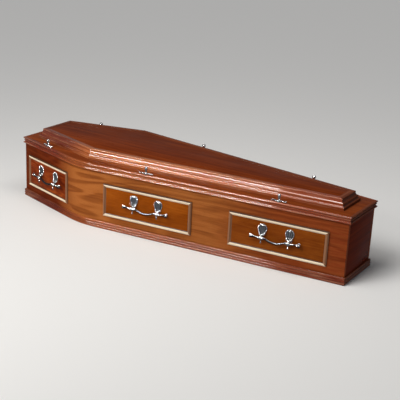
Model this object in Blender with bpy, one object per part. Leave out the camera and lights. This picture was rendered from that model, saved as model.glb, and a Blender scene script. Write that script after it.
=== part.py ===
"""Wooden coffin: six-sided box with bent shoulders, panelled sides, swing handles and a raised lid.

Frame: +X runs from the head to the foot, +Z is up, and the near side faces -Y. The origin is on the
floor, under the middle of the lid. "Inset" means the distance inwards from the lid's outer edge.
"""

import math

import bmesh
import bpy
from mathutils import Matrix, Vector

# Plan of the lid's outer edge
LID_LENGTH = 1.960
HEAD_WIDTH = 0.356
SHOULDER_WIDTH = 0.648
FOOT_WIDTH = 0.304
SHOULDER_FROM_HEAD = 0.518
SHOULDER_RADIUS = 0.450
SHOULDER_STEPS = 5

# Box
LID_OVERHANG = 0.010
SIDE_HEIGHT = 0.3050
WALL = 0.016
BASE_THICKNESS = 0.018

# Reeded plinth
PLINTH_PROJECTION = 0.008
PLINTH_HEIGHT = 0.038
PLINTH_REEDS = 3
REED_QUIRK = 0.003
REED_CROWN = (0.3, 0.7)

# Lid board and its edge moulding
LID_EDGE_HEIGHT = 0.0343
LID_EDGE_WIDTH = 0.030
LID_BOARD_THICKNESS = 0.018
LID_REBATE = 0.012
EDGE_BEAD_RADIUS = 0.0045
EDGE_HOLLOW_DEPTH = 0.0072
EDGE_FILLET_UP = 0.0189
EDGE_FILLET_WIDTH = 0.002
EDGE_FILLET_DEPTH = 0.0027
EDGE_GROOVE_DEPTH = 0.0059
EDGE_QUIRK = 0.0015

# Raised top
RAISED_INSET = 0.066
RAISED_HEIGHT = 0.0497
FIRST_STEP_HEIGHT = 0.011
MOULDING_RUN = 0.022
BORDER_WIDTH = 0.026
TOP_REBATE = 0.008
TOP_PANEL_THICKNESS = 0.012
TOP_PANEL_SINK = 0.0005
RAISED_BEAD_RADIUS = 0.0030
LOW_COVE_RUN = 0.0079
MIDDLE_BEAD_RUN = 0.0121
MIDDLE_BEAD_RISE = 0.0163

# Side panels: bare wood left along the side's face before, between and after them
PANEL_BOTTOM = 0.0745
PANEL_TOP = 0.2485
SHORT_HEAD_MARGIN = 0.0400
SHORT_SHOULDER_MARGIN = 0.1126
LONG_SHOULDER_MARGIN = 0.1420
LONG_PANELS_APART = 0.2010
LONG_FOOT_MARGIN = 0.0884
PANEL_THICKNESS = 0.005
FRAME_WIDTH = 0.018
FRAME_EDGE_HEIGHT = 0.006
FRAME_HEIGHT = 0.010
FRAME_BEVEL = 0.005

# Handles, measured from the pivot line
PIVOT_HEIGHT = 0.152
PIVOT_REACH = 0.016
PLATE_SPACING = 0.138
HANDLE_SHIFTS = (0.009, 0.0, -0.005)
PLATE_HEIGHT = 0.064
PLATE_WIDTH = 0.047
PLATE_CENTRE_UP = 0.037
PLATE_RIM_DEPTH = 0.002
PLATE_PETAL_DEPTH = 0.0055
PLATE_HOLLOW_DEPTH = 0.0030
PLATE_DOME_DEPTH = 0.0055
PLATE_PETALS = 8
PLATE_TAPER = 0.22
PLATE_SCALLOP = 0.07
SLEEVE_LENGTH = 0.030
SLEEVE_RADIUS = 0.0094
SLEEVE_END_RADIUS = 0.0066
SLEEVE_STEPS = 8
NECK_WIDTH = 0.013
NECK_HEIGHT = 0.016
DROP_LENGTH = 0.028
DROP_RADIUS = 0.0052
SPINDLE_RADIUS = 0.0034
SPINDLE_CLEARANCE = 0.0010
COLLAR_RADIUS = 0.0062
COLLAR_WIDTH = 0.0020
COLLAR_PLAY = 0.0008
BAR_LENGTH = 0.256
BOW_SAG = 0.0135
BOW_RADIUS = 0.0058
BOW_END_RADIUS = 0.0042
FINIAL_LENGTH = 0.026
FINIAL_RADIUS = 0.0115
FINIAL_RISE = 0.003

# Lid screws: where each stands along the length
SCREW_FROM_HEAD = 0.223
SCREW_FROM_SHOULDER = 0.381
SCREW_FROM_FOOT = 0.3565
SCREW_INSET = 0.015
SCREW_PLATE_LENGTH = 0.080
SCREW_PLATE_THICKNESS = 0.005
SCREW_BOSS_RADIUS = 0.0105
SCREW_ARM_WIDTH = 0.0065
SCREW_TIP_RADIUS = 0.0058
SCREW_HEIGHT = 0.040
SCREW_BULB_RADIUS = 0.0095
SCREW_STEPS = 8

GAP = 0.0003
MERGE = 0.00001

# Heights that follow
LID_UNDERSIDE = SIDE_HEIGHT + GAP
LID_TOP = LID_UNDERSIDE + LID_EDGE_HEIGHT
RAISED_TOP = LID_TOP + RAISED_HEIGHT

# Corners of the plan, anticlockwise from above, and the edge that starts at each one
HEAD_NEAR, SHOULDER_NEAR, FOOT_NEAR, FOOT_FAR, SHOULDER_FAR, HEAD_FAR = range(6)
EDGE_NAMES = ("near_short", "near_long", "foot", "far_long", "far_short", "head")

COLOURS = {
    "side wood": ((0.32, 0.10, 0.03), 0.35, 0.0),
    "top wood": ((0.16, 0.045, 0.02), 0.30, 0.0),
    "moulding wood": ((0.42, 0.12, 0.03), 0.25, 0.0),
    "burr veneer": ((0.33, 0.11, 0.015), 0.30, 0.0),
    "frame maple": ((0.85, 0.70, 0.52), 0.35, 0.0),
    "chrome": ((0.80, 0.80, 0.82), 0.12, 1.0),
}


def clear_scene():
    """Remove every object of the scene."""
    for item in list(bpy.data.objects):
        bpy.data.objects.remove(item, do_unlink=True)


def new_collection(name):
    """Make a collection under the scene's own."""
    collection = bpy.data.collections.new(name)
    bpy.context.scene.collection.children.link(collection)
    return collection


def make_material(name):
    """Make a Principled material from the table of colours."""
    colour, roughness, metallic = COLOURS[name]
    material = bpy.data.materials.new(name)
    material.use_nodes = True
    shader = material.node_tree.nodes["Principled BSDF"]
    shader.inputs["Base Color"].default_value = (*colour, 1.0)
    shader.inputs["Roughness"].default_value = roughness
    shader.inputs["Metallic"].default_value = metallic
    return material


def finish_mesh(shape, name, material, smooth_angle=None):
    """Turn a bmesh into a named mesh with its faces pointing out."""
    bmesh.ops.recalc_face_normals(shape, faces=shape.faces)
    mesh = bpy.data.meshes.new(name)
    shape.to_mesh(mesh)
    shape.free()
    mesh.materials.append(material)
    if smooth_angle is not None:
        mesh.shade_smooth()
        mesh.set_sharp_from_angle(angle=smooth_angle)
    return mesh


def place(collection, name, mesh, location=(0, 0, 0), turn=0.0):
    """Put one object of a mesh into a collection, turned about the vertical."""
    item = bpy.data.objects.new(name, mesh)
    item.location = location
    item.rotation_euler = (0, 0, turn)
    collection.objects.link(item)
    return item


def meet(first, second):
    """Point where two lines, each a point and a direction, cross."""
    start, along = first
    other, across = second
    return start + along * ((other - start).cross(across) / along.cross(across))


def outline(inset):
    """Six corners of the plan, moved inwards by an inset."""
    head_x = -LID_LENGTH / 2
    shoulder_x = head_x + SHOULDER_FROM_HEAD
    foot_x = LID_LENGTH / 2
    far = [(foot_x, FOOT_WIDTH / 2), (shoulder_x, SHOULDER_WIDTH / 2), (head_x, HEAD_WIDTH / 2)]
    near = [(x, -y) for x, y in reversed(far)]
    corners = [Vector(corner) for corner in near + far]
    lines = []
    for start, end in zip(corners, corners[1:] + corners[:1]):
        along = (end - start).normalized()
        inward = Vector((-along.y, along.x))
        lines.append((start + inward * inset, along))
    return [meet(lines[index - 1], lines[index]) for index in range(6)]


def edge_direction(edge):
    """Unit direction of one edge of the plan."""
    corners = outline(0)
    return (corners[(edge + 1) % 6] - corners[edge]).normalized()


def edge_point(edge, along, inset):
    """Point on an edge's line at an inset, at a distance from that line's own first corner."""
    return outline(inset)[edge] + edge_direction(edge) * along


def across_at(inset, x):
    """Half width of the plan at an inset, where its long and short edges pass a value of x."""
    shoulder = outline(inset)[SHOULDER_NEAR]
    edge = HEAD_NEAR if x < shoulder.x else SHOULDER_NEAR
    along = edge_direction(edge)
    return -(shoulder.y + along.y * (x - shoulder.x) / along.x)


def shoulder_turn():
    """Angle through which the near side bends at the shoulder."""
    return edge_direction(HEAD_NEAR).angle_signed(edge_direction(SHOULDER_NEAR)) * -1


def bend_start(inset):
    """Point where the near side starts to bend, at an inset."""
    along = edge_direction(HEAD_NEAR)
    inward = Vector((-along.y, along.x))
    return outline(SHOULDER_RADIUS)[SHOULDER_NEAR] - inward * (SHOULDER_RADIUS - inset)


def rounded_outline(inset):
    """Plan at an inset with both shoulders rounded about the bend's own centre."""
    centre = outline(SHOULDER_RADIUS)[SHOULDER_NEAR]
    spoke = bend_start(inset) - centre
    bend = []
    for step in range(SHOULDER_STEPS + 1):
        swing = Matrix.Rotation(shoulder_turn() * step / SHOULDER_STEPS, 2)
        bend.append(centre + swing @ spoke)
    corners = outline(inset)
    near = [corners[HEAD_NEAR], *bend, corners[FOOT_NEAR]]
    return near + [Vector((point.x, -point.y)) for point in reversed(near)]


def plan_board(name, points, bottom, top, material):
    """Flat board with a plan outline."""
    shape = bmesh.new()
    face = shape.faces.new([shape.verts.new((*point, bottom)) for point in points])
    raised = bmesh.ops.extrude_face_region(shape, geom=[face])["geom"]
    corners = [item for item in raised if isinstance(item, bmesh.types.BMVert)]
    bmesh.ops.translate(shape, verts=corners, vec=(0, 0, top - bottom))
    return finish_mesh(shape, name, material)


def inset_at(edge, point):
    """Distance of a point inwards from one edge's outer line."""
    along = edge_direction(edge)
    inward = Vector((-along.y, along.x))
    return (point.xy - outline(0)[edge]).dot(inward)


def section_ring(shape, section, place_point):
    """Edges of a moulding's section, each (inset, height) point placed in plan by a function."""
    ring = [shape.verts.new((*place_point(inset), height)) for inset, height in section]
    return [shape.edges.new(pair) for pair in zip(ring, ring[1:] + ring[:1])]


def run_to(shape, ring, edge, place_point):
    """Extrude a section's ring along an edge, to an end where a function places each inset."""
    fresh = bmesh.ops.extrude_edge_only(shape, edges=ring)["geom"]
    for corner in [item for item in fresh if isinstance(item, bmesh.types.BMVert)]:
        corner.co.xy = place_point(inset_at(edge, corner.co))
    return [item for item in fresh if isinstance(item, bmesh.types.BMEdge) and item.is_boundary]


def close_ends(shape):
    """Cap both open ends of a run."""
    bmesh.ops.holes_fill(shape, edges=[edge for edge in shape.edges if edge.is_boundary], sides=0)


def mitred_strip(name, edge, section, material):
    """Moulding along one straight edge, cut at the mitre lines of both corners."""
    gap = edge_direction(edge) * (GAP / 2)
    shape = bmesh.new()
    start = section_ring(shape, section, lambda inset: outline(inset)[edge] + gap)
    run_to(shape, start, edge, lambda inset: outline(inset)[(edge + 1) % 6] - gap)
    close_ends(shape)
    return finish_mesh(shape, name, material)


def mitre_end(corner, edge, inset):
    """Point of a mitred end, held back from its neighbour by half the gap."""
    away = 1 if corner == edge else -1
    return outline(inset)[corner] + edge_direction(edge) * (away * GAP / 2)


def square_end(x, inset):
    """Point of an end that is cut square across the length."""
    return Vector((x, -across_at(inset, x)))


def bent_strip(name, section, head_end, foot_end, material):
    """Near side's moulding or board: straight, bent round the shoulder, and straight again."""
    shape = bmesh.new()
    start = section_ring(shape, section, bend_start)
    run_to(shape, start, HEAD_NEAR, head_end)
    centre = outline(SHOULDER_RADIUS)[SHOULDER_NEAR]
    corners = {corner for edge in start for corner in edge.verts}
    bent = bmesh.ops.spin(
        shape,
        geom=[*start, *corners],
        cent=(*centre, 0),
        axis=(0, 0, 1),
        angle=shoulder_turn(),
        steps=SHOULDER_STEPS,
        use_duplicate=False,
    )["geom_last"]
    end = [item for item in bent if isinstance(item, bmesh.types.BMEdge)]
    run_to(shape, end, SHOULDER_NEAR, foot_end)
    close_ends(shape)
    return finish_mesh(shape, name, material)


def mirrored(mesh, name):
    """Copy of a mesh on the far side."""
    copy = mesh.copy()
    copy.name = name
    copy.transform(Matrix.Scale(-1, 4, (0, 1, 0)))
    copy.flip_normals()
    return copy


def arc(centre, radius, start, end, steps):
    """Points of an arc in a section, angles in degrees from straight inwards."""
    points = []
    for step in range(steps + 1):
        angle = math.radians(start + (end - start) * step / steps)
        points.append((centre[0] + radius * math.cos(angle), centre[1] + radius * math.sin(angle)))
    return points


def plinth_section():
    """Section of the reeded base moulding, from its back round its reeds."""
    back = LID_OVERHANG - GAP
    front = LID_OVERHANG - PLINTH_PROJECTION
    reed = PLINTH_HEIGHT / PLINTH_REEDS
    points = [(back, 0)]
    for index in range(PLINTH_REEDS):
        low = index * reed
        points.append((front + REED_QUIRK, low))
        points += [(front, low + reed * share) for share in REED_CROWN]
    points.append((front + REED_QUIRK, PLINTH_HEIGHT))
    points.append((back, PLINTH_HEIGHT))
    return points


def lid_edge_section():
    """Section of the lid's edge: bead, hollow, fillet, groove and bead, with a rebate behind."""
    bead = EDGE_BEAD_RADIUS
    low = LID_UNDERSIDE
    ledge = LID_TOP - LID_BOARD_THICKNESS - GAP
    fillet = low + EDGE_FILLET_UP
    points = [(LID_EDGE_WIDTH, low)]
    points += arc((bead, low + bead), bead, 270, 90, 4)
    points.append((EDGE_HOLLOW_DEPTH, low + 2 * bead + EDGE_QUIRK))
    points.append((EDGE_HOLLOW_DEPTH, fillet - 2 * EDGE_QUIRK))
    points.append((EDGE_FILLET_DEPTH, fillet))
    points.append((EDGE_FILLET_DEPTH, fillet + EDGE_FILLET_WIDTH))
    points.append((EDGE_GROOVE_DEPTH, fillet + EDGE_FILLET_WIDTH + EDGE_QUIRK))
    points.append((EDGE_GROOVE_DEPTH, LID_TOP - 2 * bead))
    points += arc((bead, LID_TOP - bead), bead, 225, 90, 3)
    points.append((LID_REBATE, LID_TOP))
    points.append((LID_REBATE, ledge))
    points.append((LID_EDGE_WIDTH, ledge))
    return points


def raised_section():
    """Section of the raised top's stepped moulding: two beads, hollows, a nosing and a flat border."""
    bead = RAISED_BEAD_RADIUS
    low = LID_TOP + GAP
    step = low + FIRST_STEP_HEIGHT
    nosing = RAISED_INSET + MOULDING_RUN
    border = nosing + BORDER_WIDTH
    ledge = RAISED_TOP - TOP_PANEL_SINK - TOP_PANEL_THICKNESS - GAP
    half_run = RAISED_INSET + MIDDLE_BEAD_RUN
    half_rise = step + MIDDLE_BEAD_RISE
    points = [(border + TOP_REBATE, low), (RAISED_INSET, low)]
    points += arc((RAISED_INSET + bead, step), bead, 200, 90, 3)
    points.append((RAISED_INSET + LOW_COVE_RUN, step + bead * 1.2))
    points.append((half_run - bead, half_rise - bead * 1.1))
    points += arc((half_run, half_rise), bead * 0.8, 200, 90, 2)
    points.append((half_run + bead, half_rise + bead))
    points.append((nosing - bead * 0.6, RAISED_TOP - bead * 2.4))
    points += arc((nosing + bead * 0.4, RAISED_TOP - bead), bead, 200, 90, 3)
    points.append((border, RAISED_TOP))
    points.append((border, ledge))
    points.append((border + TOP_REBATE, ledge))
    return points


def add_box(parts, wood):
    """Base board, bent sides, ends and plinth."""
    outer_x = LID_LENGTH / 2 - LID_OVERHANG
    inside = LID_OVERHANG + WALL + GAP
    board = plan_board("base_board", rounded_outline(inside), 0, BASE_THICKNESS, wood["side wood"])
    place(parts, "base_board", board)

    section = [(LID_OVERHANG, 0), (LID_OVERHANG, SIDE_HEIGHT)]
    section += [(LID_OVERHANG + WALL, SIDE_HEIGHT), (LID_OVERHANG + WALL, 0)]
    side = bent_strip(
        "side_board_near",
        section,
        lambda inset: square_end(-outer_x, inset),
        lambda inset: square_end(outer_x, inset),
        wood["side wood"],
    )
    place(parts, "side_board_near", side)
    place(parts, "side_board_far", mirrored(side, "side_board_far"))

    for name, x, inner_x in (
        ("head_board", -outer_x, WALL - outer_x),
        ("foot_board", outer_x, outer_x - WALL),
    ):
        corners = [
            (x, -across_at(inside, x)),
            (inner_x, -across_at(inside, inner_x)),
            (inner_x, across_at(inside, inner_x)),
            (x, across_at(inside, x)),
        ]
        place(parts, name, plan_board(name, corners, 0, SIDE_HEIGHT, wood["side wood"]))


def add_run_of_mouldings(parts, stem, section, material):
    """One moulding all round the plan: two bent sides and two ends, mitred at the corners."""
    near = bent_strip(
        stem + "_near",
        section,
        lambda inset: mitre_end(HEAD_NEAR, HEAD_NEAR, inset),
        lambda inset: mitre_end(FOOT_NEAR, SHOULDER_NEAR, inset),
        material,
    )
    place(parts, stem + "_near", near)
    place(parts, stem + "_far", mirrored(near, stem + "_far"))
    for name, edge in ((stem + "_foot", FOOT_NEAR), (stem + "_head", HEAD_FAR)):
        place(parts, name, mitred_strip(name, edge, section, material))


def add_lid(parts, wood):
    """Lid board, its moulded edge, the raised moulding and the top panel."""
    board = rounded_outline(LID_REBATE + GAP)
    underside = LID_TOP - LID_BOARD_THICKNESS
    place(parts, "lid_board", plan_board("lid_board", board, underside, LID_TOP, wood["moulding wood"]))
    add_run_of_mouldings(parts, "lid_edge", lid_edge_section(), wood["moulding wood"])
    for edge, label in enumerate(EDGE_NAMES):
        name = "lid_frame_" + label
        place(parts, name, mitred_strip(name, edge, raised_section(), wood["moulding wood"]))
    panel = outline(RAISED_INSET + MOULDING_RUN + BORDER_WIDTH + GAP)
    top = RAISED_TOP - TOP_PANEL_SINK
    place(parts, "top_panel", plan_board("top_panel", panel, top - TOP_PANEL_THICKNESS, top, wood["top wood"]))


def panel_stations():
    """Edge, start and length of the three panels on the near side, from the head to the foot."""
    head, shoulder, foot = outline(LID_OVERHANG)[HEAD_NEAR:FOOT_FAR]
    short_length = (shoulder - head).length - SHORT_HEAD_MARGIN - SHORT_SHOULDER_MARGIN
    bare = LONG_SHOULDER_MARGIN + LONG_PANELS_APART + LONG_FOOT_MARGIN
    long_length = ((foot - shoulder).length - bare) / 2
    foot_panel_start = LONG_SHOULDER_MARGIN + long_length + LONG_PANELS_APART
    return (
        (HEAD_NEAR, SHORT_HEAD_MARGIN, short_length),
        (SHOULDER_NEAR, LONG_SHOULDER_MARGIN, long_length),
        (SHOULDER_NEAR, foot_panel_start, long_length),
    )


def side_places():
    """Name, middle of the face and turn of each of the six panels, both sides."""
    places = []
    for number, (edge, start, length) in enumerate(panel_stations(), 1):
        middle = edge_point(edge, start + length / 2, LID_OVERHANG)
        along = edge_direction(edge)
        turn = math.atan2(along.y, along.x)
        places.append((f"near_{number}", middle, turn, length))
        places.append((f"far_{number}", Vector((middle.x, -middle.y)), math.pi - turn, length))
    return places


def on_face(middle, turn, reach, height):
    """Point in front of a side's face: so far out of it, and at a height."""
    outward = Vector((math.sin(turn), -math.cos(turn)))
    return (*(middle + outward * reach), height)


def panel_mesh(name, length, material):
    """Veneered insert, its back at y 0 and its face towards -Y."""
    inner = FRAME_WIDTH + GAP
    size = (length - 2 * inner, PANEL_THICKNESS, PANEL_TOP - PANEL_BOTTOM - 2 * inner)
    shape = bmesh.new()
    bmesh.ops.create_cube(shape, size=1, matrix=Matrix.Diagonal((*size, 1)))
    bmesh.ops.translate(shape, verts=shape.verts, vec=(0, -PANEL_THICKNESS / 2, 0))
    return finish_mesh(shape, name, material)


def frame_mesh(name, length, material):
    """Picture-frame moulding, its section run round the four corners, its crown towards -Y."""
    half_length = length / 2
    half_height = (PANEL_TOP - PANEL_BOTTOM) / 2
    section = [(0, 0), (0, FRAME_EDGE_HEIGHT), (FRAME_BEVEL, FRAME_HEIGHT)]
    section += [(FRAME_WIDTH - FRAME_BEVEL, FRAME_HEIGHT), (FRAME_WIDTH, FRAME_EDGE_HEIGHT), (FRAME_WIDTH, 0)]
    shape = bmesh.new()
    ring = []
    for across, depth in section:
        ring.append(shape.verts.new((across - half_length, -depth, across - half_height)))
    run = [shape.edges.new(pair) for pair in zip(ring, ring[1:] + ring[:1])]
    for side, rise in ((1, -1), (1, 1), (-1, 1), (-1, -1)):
        fresh = bmesh.ops.extrude_edge_only(shape, edges=run)["geom"]
        for corner in [item for item in fresh if isinstance(item, bmesh.types.BMVert)]:
            across = half_length - abs(corner.co.x)
            corner.co.x = side * (half_length - across)
            corner.co.z = rise * (half_height - across)
        run = [item for item in fresh if isinstance(item, bmesh.types.BMEdge) and item.is_boundary]
    bmesh.ops.remove_doubles(shape, verts=shape.verts, dist=MERGE)
    return finish_mesh(shape, name, material)


def add_panels(parts, wood):
    """Inserts and their frames on both sides."""
    middle_height = (PANEL_TOP + PANEL_BOTTOM) / 2
    for label, middle, turn, length in side_places():
        spot = on_face(middle, turn, GAP, middle_height)
        place(parts, "panel_" + label, panel_mesh("panel_" + label, length, wood["burr veneer"]), spot, turn)
        name = "panel_frame_" + label
        place(parts, name, frame_mesh(name, length, wood["frame maple"]), spot, turn)


def turned(shape, profile, axis, steps):
    """Spin a profile, given as points off an axis, into a closed solid of revolution."""
    corners = [shape.verts.new(point) for point in profile]
    edges = [shape.edges.new(pair) for pair in zip(corners, corners[1:])]
    bmesh.ops.spin(
        shape,
        geom=[*corners, *edges],
        cent=(0, 0, 0),
        axis=axis,
        angle=math.tau,
        steps=steps,
        use_merge=True,
        use_duplicate=False,
    )
    bmesh.ops.remove_doubles(shape, verts=shape.verts, dist=MERGE)


def plate_radius(angle):
    """Distance from the shell's centre to its rim: an egg, narrower below."""
    across = PLATE_WIDTH / 2 * (1 + PLATE_TAPER * math.sin(angle))
    return 1 / math.hypot(math.cos(angle) / across, math.sin(angle) / (PLATE_HEIGHT / 2))


def shell_mesh(material):
    """Scalloped shell plate, its back at the insert's face, as a stack of rings drawn to a boss."""
    back = PIVOT_REACH - GAP
    sides = 2 * PLATE_PETALS
    rings = (
        (1.00, 0.0, 1.0),
        (0.97, PLATE_RIM_DEPTH, 1.0),
        (0.84, PLATE_PETAL_DEPTH, 0.5),
        (0.64, PLATE_HOLLOW_DEPTH, 0.0),
        (0.30, PLATE_DOME_DEPTH, 0.0),
    )
    shape = bmesh.new()
    previous = None
    for share, depth, scallop in rings:
        ring = []
        for side in range(sides):
            angle = math.tau * side / sides
            reach = plate_radius(angle) * share * (1 - PLATE_SCALLOP * scallop * (side % 2))
            point = (reach * math.cos(angle), back - depth, PLATE_CENTRE_UP + reach * math.sin(angle))
            ring.append(shape.verts.new(point))
        if previous:
            edges = loop_edges(shape, previous) + loop_edges(shape, ring)
            bmesh.ops.bridge_loops(shape, edges=edges)
        else:
            shape.faces.new(ring)
        previous = ring
    shape.faces.new(previous)
    return finish_mesh(shape, "shell", material)


def loop_edges(shape, ring):
    """Edges of a closed ring of vertices, made where they are missing."""
    edges = []
    for first, second in zip(ring, ring[1:] + ring[:1]):
        edges.append(shape.edges.get((first, second)) or shape.edges.new((first, second)))
    return edges


def sleeve_mesh(material):
    """Barrel sleeve round the spindle, bored through."""
    half = SLEEVE_LENGTH / 2
    bore = SPINDLE_RADIUS + SPINDLE_CLEARANCE
    section = [(-half, bore), (-half, SLEEVE_END_RADIUS), (-half * 0.45, SLEEVE_RADIUS)]
    section += [(half * 0.45, SLEEVE_RADIUS), (half, SLEEVE_END_RADIUS), (half, bore)]
    shape = bmesh.new()
    loop = [(x, 0, radius) for x, radius in section + section[:1]]
    turned(shape, loop, (1, 0, 0), SLEEVE_STEPS)
    return finish_mesh(shape, "sleeve", material)


def neck_mesh(material):
    """Bracket from the shell's foot out to the sleeve, stopping short of the bore."""
    bore = SPINDLE_RADIUS + SPINDLE_CLEARANCE
    inner = bore + (SLEEVE_RADIUS - bore) * 0.5
    outer = PIVOT_REACH - GAP
    shape = bmesh.new()
    size = Matrix.Diagonal((NECK_WIDTH, outer - inner, NECK_HEIGHT, 1))
    bmesh.ops.create_cube(shape, size=1, matrix=size)
    lift = (0, (outer + inner) / 2, NECK_HEIGHT / 2 - SLEEVE_END_RADIUS * 0.5)
    bmesh.ops.translate(shape, verts=shape.verts, vec=lift)
    return finish_mesh(shape, "neck", material)


def drop_mesh(material):
    """Ball drop under the sleeve."""
    top = -(SLEEVE_RADIUS + SPINDLE_RADIUS + SPINDLE_CLEARANCE) / 2
    low = -DROP_LENGTH
    neck = DROP_RADIUS * 0.55
    profile = [(0, 0, top), (neck, 0, top), (neck, 0, low + DROP_RADIUS * 1.9)]
    profile += [(DROP_RADIUS, 0, low + DROP_RADIUS), (0, 0, low)]
    shape = bmesh.new()
    turned(shape, profile, (0, 0, 1), 6)
    return finish_mesh(shape, "drop", material)


def united(name, meshes, cutters, smooth_angle):
    """Join meshes that overlap into one closed mesh."""
    base = place(cutters, name + "_base", meshes[0])
    for index, mesh in enumerate(meshes[1:]):
        tool = place(cutters, f"{name}_tool_{index}", mesh)
        tool.hide_render = True
        tool.display_type = "WIRE"
        union = base.modifiers.new(f"union {index}", "BOOLEAN")
        union.operation = "UNION"
        union.solver = "EXACT"
        union.object = tool
    graph = bpy.context.evaluated_depsgraph_get()
    joined = bpy.data.meshes.new_from_object(base.evaluated_get(graph))
    joined.name = name
    joined.shade_smooth()
    joined.set_sharp_from_angle(angle=smooth_angle)
    for item in [item for item in cutters.objects if item.name.startswith(name + "_")]:
        bpy.data.objects.remove(item, do_unlink=True)
    return joined


def bar_stations():
    """Half of the bar from its middle outwards: distance along, height and radius."""
    spindle_start = (PLATE_SPACING - SLEEVE_LENGTH) / 2 - COLLAR_PLAY
    spindle_end = (PLATE_SPACING + SLEEVE_LENGTH) / 2 + COLLAR_PLAY
    bow_end = spindle_start - COLLAR_WIDTH
    finial_start = BAR_LENGTH / 2 - FINIAL_LENGTH
    run = BAR_LENGTH / 2 - spindle_end
    stations = []
    for share in (0, 0.35, 0.7, 1):
        radius = BOW_RADIUS + (BOW_END_RADIUS - BOW_RADIUS) * share**2
        stations.append((bow_end * share, -BOW_SAG * (1 - share**2), radius))
    stations.append((spindle_start - COLLAR_WIDTH / 2, 0, COLLAR_RADIUS))
    stations.append((spindle_start, 0, SPINDLE_RADIUS))
    stations.append((spindle_end, 0, SPINDLE_RADIUS))
    for along, radius in (
        (spindle_end + COLLAR_WIDTH / 2, COLLAR_RADIUS),
        (spindle_end + COLLAR_WIDTH, SPINDLE_RADIUS),
        (finial_start - FINIAL_LENGTH * 0.1, SPINDLE_RADIUS),
        (finial_start, FINIAL_RADIUS * 0.62),
        (finial_start + FINIAL_LENGTH * 0.16, FINIAL_RADIUS * 0.46),
        (finial_start + FINIAL_LENGTH * 0.75, FINIAL_RADIUS),
        (finial_start + FINIAL_LENGTH, FINIAL_RADIUS * 0.75),
    ):
        stations.append((along, FINIAL_RISE * (along - spindle_end) / run, radius))
    return stations


def bar_curve(material):
    """Bar with its bow, spindles, collars and turned ends, as a curve with a radius at each point."""
    half = bar_stations()
    stations = [(-along, height, radius) for along, height, radius in reversed(half[1:])] + half
    curve = bpy.data.curves.new("handle_bar", "CURVE")
    curve.dimensions = "3D"
    curve.bevel_depth = 1.0
    curve.bevel_resolution = 2
    curve.use_fill_caps = True
    spline = curve.splines.new("POLY")
    spline.points.add(len(stations) - 1)
    for point, (along, height, radius) in zip(spline.points, stations):
        point.co = (along, 0, height, 1)
        point.radius = radius
    curve.materials.append(material)
    return curve


def handle_places():
    """Name, pivot, direction along the bar and turn of each handle, shifted along its panel."""
    reach = GAP + PANEL_THICKNESS + PIVOT_REACH
    places = []
    for label, middle, turn, _ in side_places():
        along = Vector((math.cos(turn), math.sin(turn), 0))
        shift = HANDLE_SHIFTS[int(label[-1]) - 1] * math.copysign(1, along.x)
        pivot = Vector(on_face(middle, turn, reach, PIVOT_HEIGHT)) + along * shift
        places.append((label, pivot, along, turn))
    return places


def add_handles(parts, cutters, wood):
    """Two plates and a swinging bar on each panel, the bar's origin on its pivot line."""
    chrome = wood["chrome"]
    solids = [shell_mesh(chrome), neck_mesh(chrome), sleeve_mesh(chrome), drop_mesh(chrome)]
    plate = united("handle_plate", solids, cutters, math.radians(40))
    bar = bar_curve(chrome)
    for label, pivot, along, turn in handle_places():
        towards_foot = 1 if along.x > 0 else -1
        for end, way in (("head", -towards_foot), ("foot", towards_foot)):
            spot = pivot + along * (way * PLATE_SPACING / 2)
            place(parts, f"handle_plate_{label}_{end}", plate, spot, turn)
        place(parts, "handle_bar_" + label, bar, pivot, turn)


def screw_plate_mesh(material):
    """Flat plate of a lid screw: a round boss with two arms that end in round tips."""
    arm_end = SCREW_PLATE_LENGTH / 2 - SCREW_TIP_RADIUS
    half_arm = SCREW_ARM_WIDTH / 2
    quarter = [
        (SCREW_BOSS_RADIUS * math.cos(math.radians(angle)), SCREW_BOSS_RADIUS * math.sin(math.radians(angle)))
        for angle in (90, 60, 25)
    ]
    quarter.append((SCREW_BOSS_RADIUS * 1.6, half_arm))
    quarter.append((arm_end - SCREW_TIP_RADIUS, half_arm))
    quarter += [
        (arm_end + SCREW_TIP_RADIUS * math.cos(math.radians(angle)), SCREW_TIP_RADIUS * math.sin(math.radians(angle)))
        for angle in (120, 60, 0)
    ]
    lower = [(x, -y) for x, y in reversed(quarter[:-1])]
    right = quarter + lower
    left = [(-x, y) for x, y in reversed(right)][1:-1]
    return plan_board("screw_plate", right + left, 0, SCREW_PLATE_THICKNESS, material)


def screw_finial_mesh(material):
    """Turned finial of a lid screw: foot, neck and bulb."""
    base = SCREW_PLATE_THICKNESS / 2
    bulb = SCREW_BULB_RADIUS
    top = SCREW_HEIGHT
    profile = [(0, 0, base), (bulb, 0, base), (bulb, 0, SCREW_PLATE_THICKNESS + bulb * 0.25)]
    profile += [(bulb * 0.55, 0, SCREW_PLATE_THICKNESS + bulb * 0.75), (bulb * 0.6, 0, top - bulb * 2.3)]
    profile += [(bulb * 0.9, 0, top - bulb * 1.6), (bulb, 0, top - bulb)]
    profile += [(bulb * 0.75, 0, top - bulb * 0.35), (0, 0, top)]
    shape = bmesh.new()
    turned(shape, profile, (0, 0, 1), SCREW_STEPS)
    return finish_mesh(shape, "screw_finial", material)


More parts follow.
